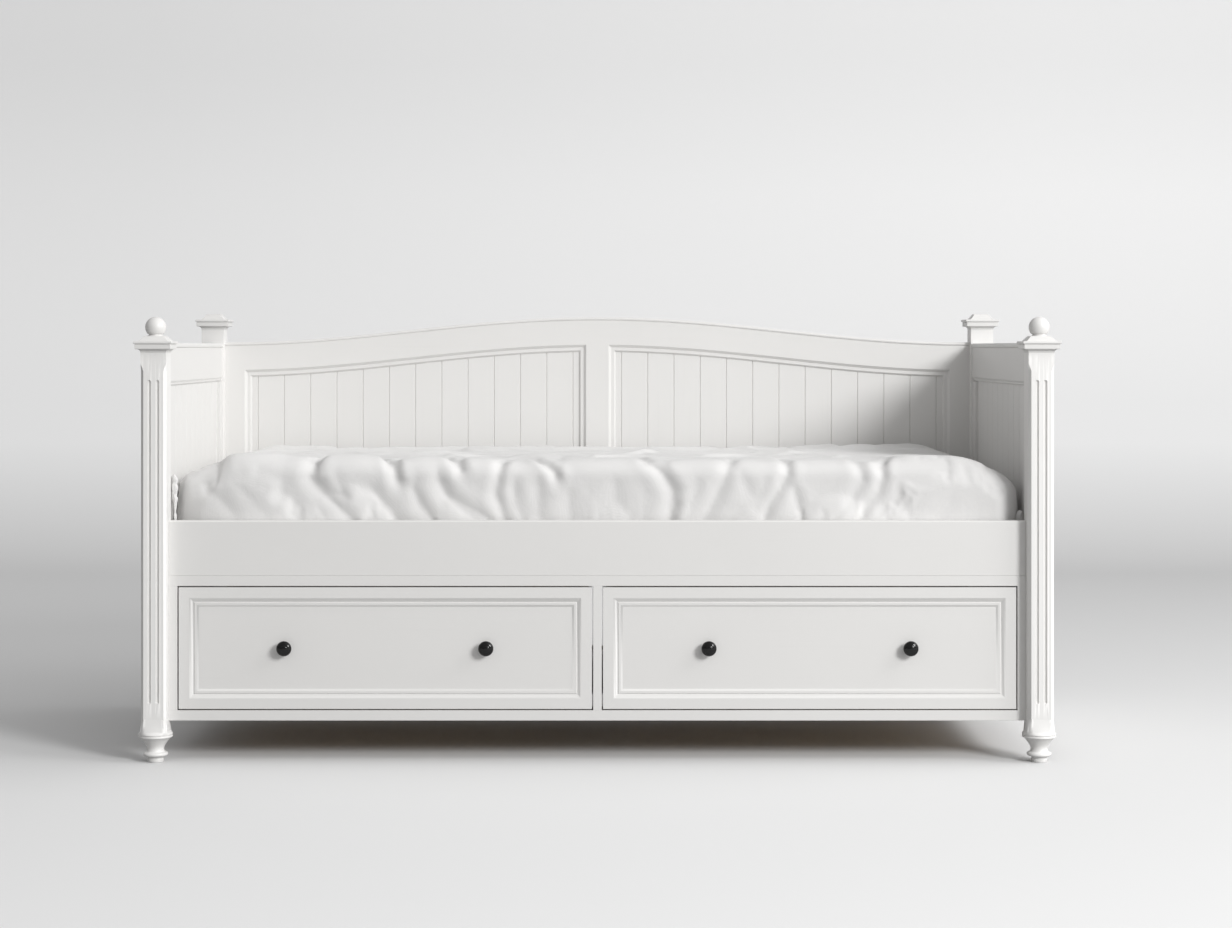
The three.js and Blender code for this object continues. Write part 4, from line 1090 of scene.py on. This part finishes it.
def make_sky():
    """Soft light from all round the studio, brighter from the right and weaker near the floor"""
    world = bpy.data.worlds.new("studio")
    bpy.context.scene.world = world
    world.use_nodes = True
    sky = Nodes(world.node_tree)
    sky.tree.nodes.clear()
    way = sky.node("ShaderNodeTexCoord").outputs["Generated"]
    across, _, up = sky.node("ShaderNodeSeparateXYZ", None, {0: way}).outputs
    level = sky.range(across, 0.0, 1.0, 0.45, 1.65) * sky.range(up, 0.0, 0.3, 0.45, 1.0)
    white = sky.node("ShaderNodeBackground", None, {"Color": (1.0, 1.0, 1.0, 1.0), "Strength": level})
    sky.node("ShaderNodeOutputWorld", None, {"Surface": white.outputs[0]})


def make_stage(colours):
    make_camera()
    make_backdrop(colours)
    make_light("key", (5.6, -2.6, 4.6), 2.4, 78.0)
    make_light("front", (5.5, -7.0, 4.0), 2.6, 530.0)
    make_sky()
    bpy.context.scene.view_settings.view_transform = "Standard"


# Operators, one for each group of like pieces

class DAYBED_OT_stage(bpy.types.Operator):
    """Set up the camera, the floor with its backdrop, and the lights"""
    bl_idname = "daybed.stage"
    bl_label = "Stage"

    def execute(self, context):
        make_stage(context.scene.daybed_finishes)
        return {"FINISHED"}


class DAYBED_OT_finishes(bpy.types.Operator):
    """Make the paint, pine, enamel, cotton, steel and nylon"""
    bl_idname = "daybed.finishes"
    bl_label = "Finishes"

    def execute(self, context):
        make_finishes(context.scene.daybed_finishes)
        return {"FINISHED"}


class DAYBED_OT_posts(bpy.types.Operator):
    """Turn the feet of the four posts and flute the front two"""
    bl_idname = "daybed.posts"
    bl_label = "Posts"

    def execute(self, context):
        make_posts(context.scene.daybed_sizes)
        return {"FINISHED"}


class DAYBED_OT_caps(bpy.types.Operator):
    """Mould the post caps, with a roof in front and a button behind"""
    bl_idname = "daybed.caps"
    bl_label = "Post caps"

    def execute(self, context):
        make_caps(context.scene.daybed_sizes)
        return {"FINISHED"}


class DAYBED_OT_finials(bpy.types.Operator):
    """Turn the ball finials of the front caps"""
    bl_idname = "daybed.finials"
    bl_label = "Finials"

    def execute(self, context):
        make_finials()
        return {"FINISHED"}


class DAYBED_OT_back_panel(bpy.types.Operator):
    """Ease and paint the arched back panel"""
    bl_idname = "daybed.back_panel"
    bl_label = "Back panel"

    def execute(self, context):
        make_back(context.scene.daybed_sizes)
        return {"FINISHED"}


class DAYBED_OT_side_panels(bpy.types.Operator):
    """Ease and paint the side panels of boards"""
    bl_idname = "daybed.side_panels"
    bl_label = "Side panels"

    def execute(self, context):
        make_sides(context.scene.daybed_sizes)
        return {"FINISHED"}


class DAYBED_OT_rails(bpy.types.Operator):
    """Ease and finish the rails, the carcass, the ledges and the slats"""
    bl_idname = "daybed.rails"
    bl_label = "Rails and base"

    def execute(self, context):
        make_rails(context.scene.daybed_sizes)
        return {"FINISHED"}


class DAYBED_OT_drawer_fronts(bpy.types.Operator):
    """Mould the drawer fronts with their sunk panels"""
    bl_idname = "daybed.drawer_fronts"
    bl_label = "Drawer fronts"

    def execute(self, context):
        make_drawer_fronts(context.scene.daybed_sizes)
        return {"FINISHED"}


class DAYBED_OT_drawer_boxes(bpy.types.Operator):
    """Finish the pine boxes of the drawers"""
    bl_idname = "daybed.drawer_boxes"
    bl_label = "Drawer boxes"

    def execute(self, context):
        make_drawer_boxes(context.scene.daybed_sizes)
        return {"FINISHED"}


class DAYBED_OT_knobs(bpy.types.Operator):
    """Turn the gloss knobs"""
    bl_idname = "daybed.knobs"
    bl_label = "Knobs"

    def execute(self, context):
        make_knobs()
        return {"FINISHED"}


class DAYBED_OT_runners(bpy.types.Operator):
    """Finish the steel channels and their nylon rollers"""
    bl_idname = "daybed.runners"
    bl_label = "Runners"

    def execute(self, context):
        make_runners()
        return {"FINISHED"}


class DAYBED_OT_mattress(bpy.types.Operator):
    """Model the mattress in its loose cotton cover"""
    bl_idname = "daybed.mattress"
    bl_label = "Mattress"

    def execute(self, context):
        make_mattress(context.scene.daybed_sizes)
        return {"FINISHED"}


STEPS = [
    DAYBED_OT_stage, DAYBED_OT_finishes, DAYBED_OT_posts, DAYBED_OT_caps, DAYBED_OT_finials,
    DAYBED_OT_back_panel, DAYBED_OT_side_panels, DAYBED_OT_rails, DAYBED_OT_drawer_fronts,
    DAYBED_OT_drawer_boxes, DAYBED_OT_knobs, DAYBED_OT_runners, DAYBED_OT_mattress,
]


class DAYBED_PT_steps(bpy.types.Panel):
    """Lists the steps and the settings"""
    bl_label = "Daybed"
    bl_space_type = "VIEW_3D"
    bl_region_type = "UI"
    bl_category = "Daybed"

    def draw(self, context):
        for item in STEPS:
            self.layout.operator(item.bl_idname)
        for group in (context.scene.daybed_sizes, context.scene.daybed_finishes):
            for setting in group.bl_rna.properties:
                if setting.identifier not in ("rna_type", "name"):
                    self.layout.prop(group, setting.identifier)


CLASSES = [DaybedFinishes, DaybedSizes, *STEPS, DAYBED_PT_steps]


def register():
    for item in CLASSES:
        bpy.utils.register_class(item)
    bpy.types.Scene.daybed_finishes = PointerProperty(type=DaybedFinishes)
    bpy.types.Scene.daybed_sizes = PointerProperty(type=DaybedSizes)


def unregister():
    del bpy.types.Scene.daybed_sizes
    del bpy.types.Scene.daybed_finishes
    for item in reversed(CLASSES):
        bpy.utils.unregister_class(item)


def main():
    register()
    for item in STEPS:
        family, operator = item.bl_idname.split(".")
        getattr(getattr(bpy.ops, family), operator)()
    bpy.context.view_layer.update()


if __name__ == "__main__":
    main()
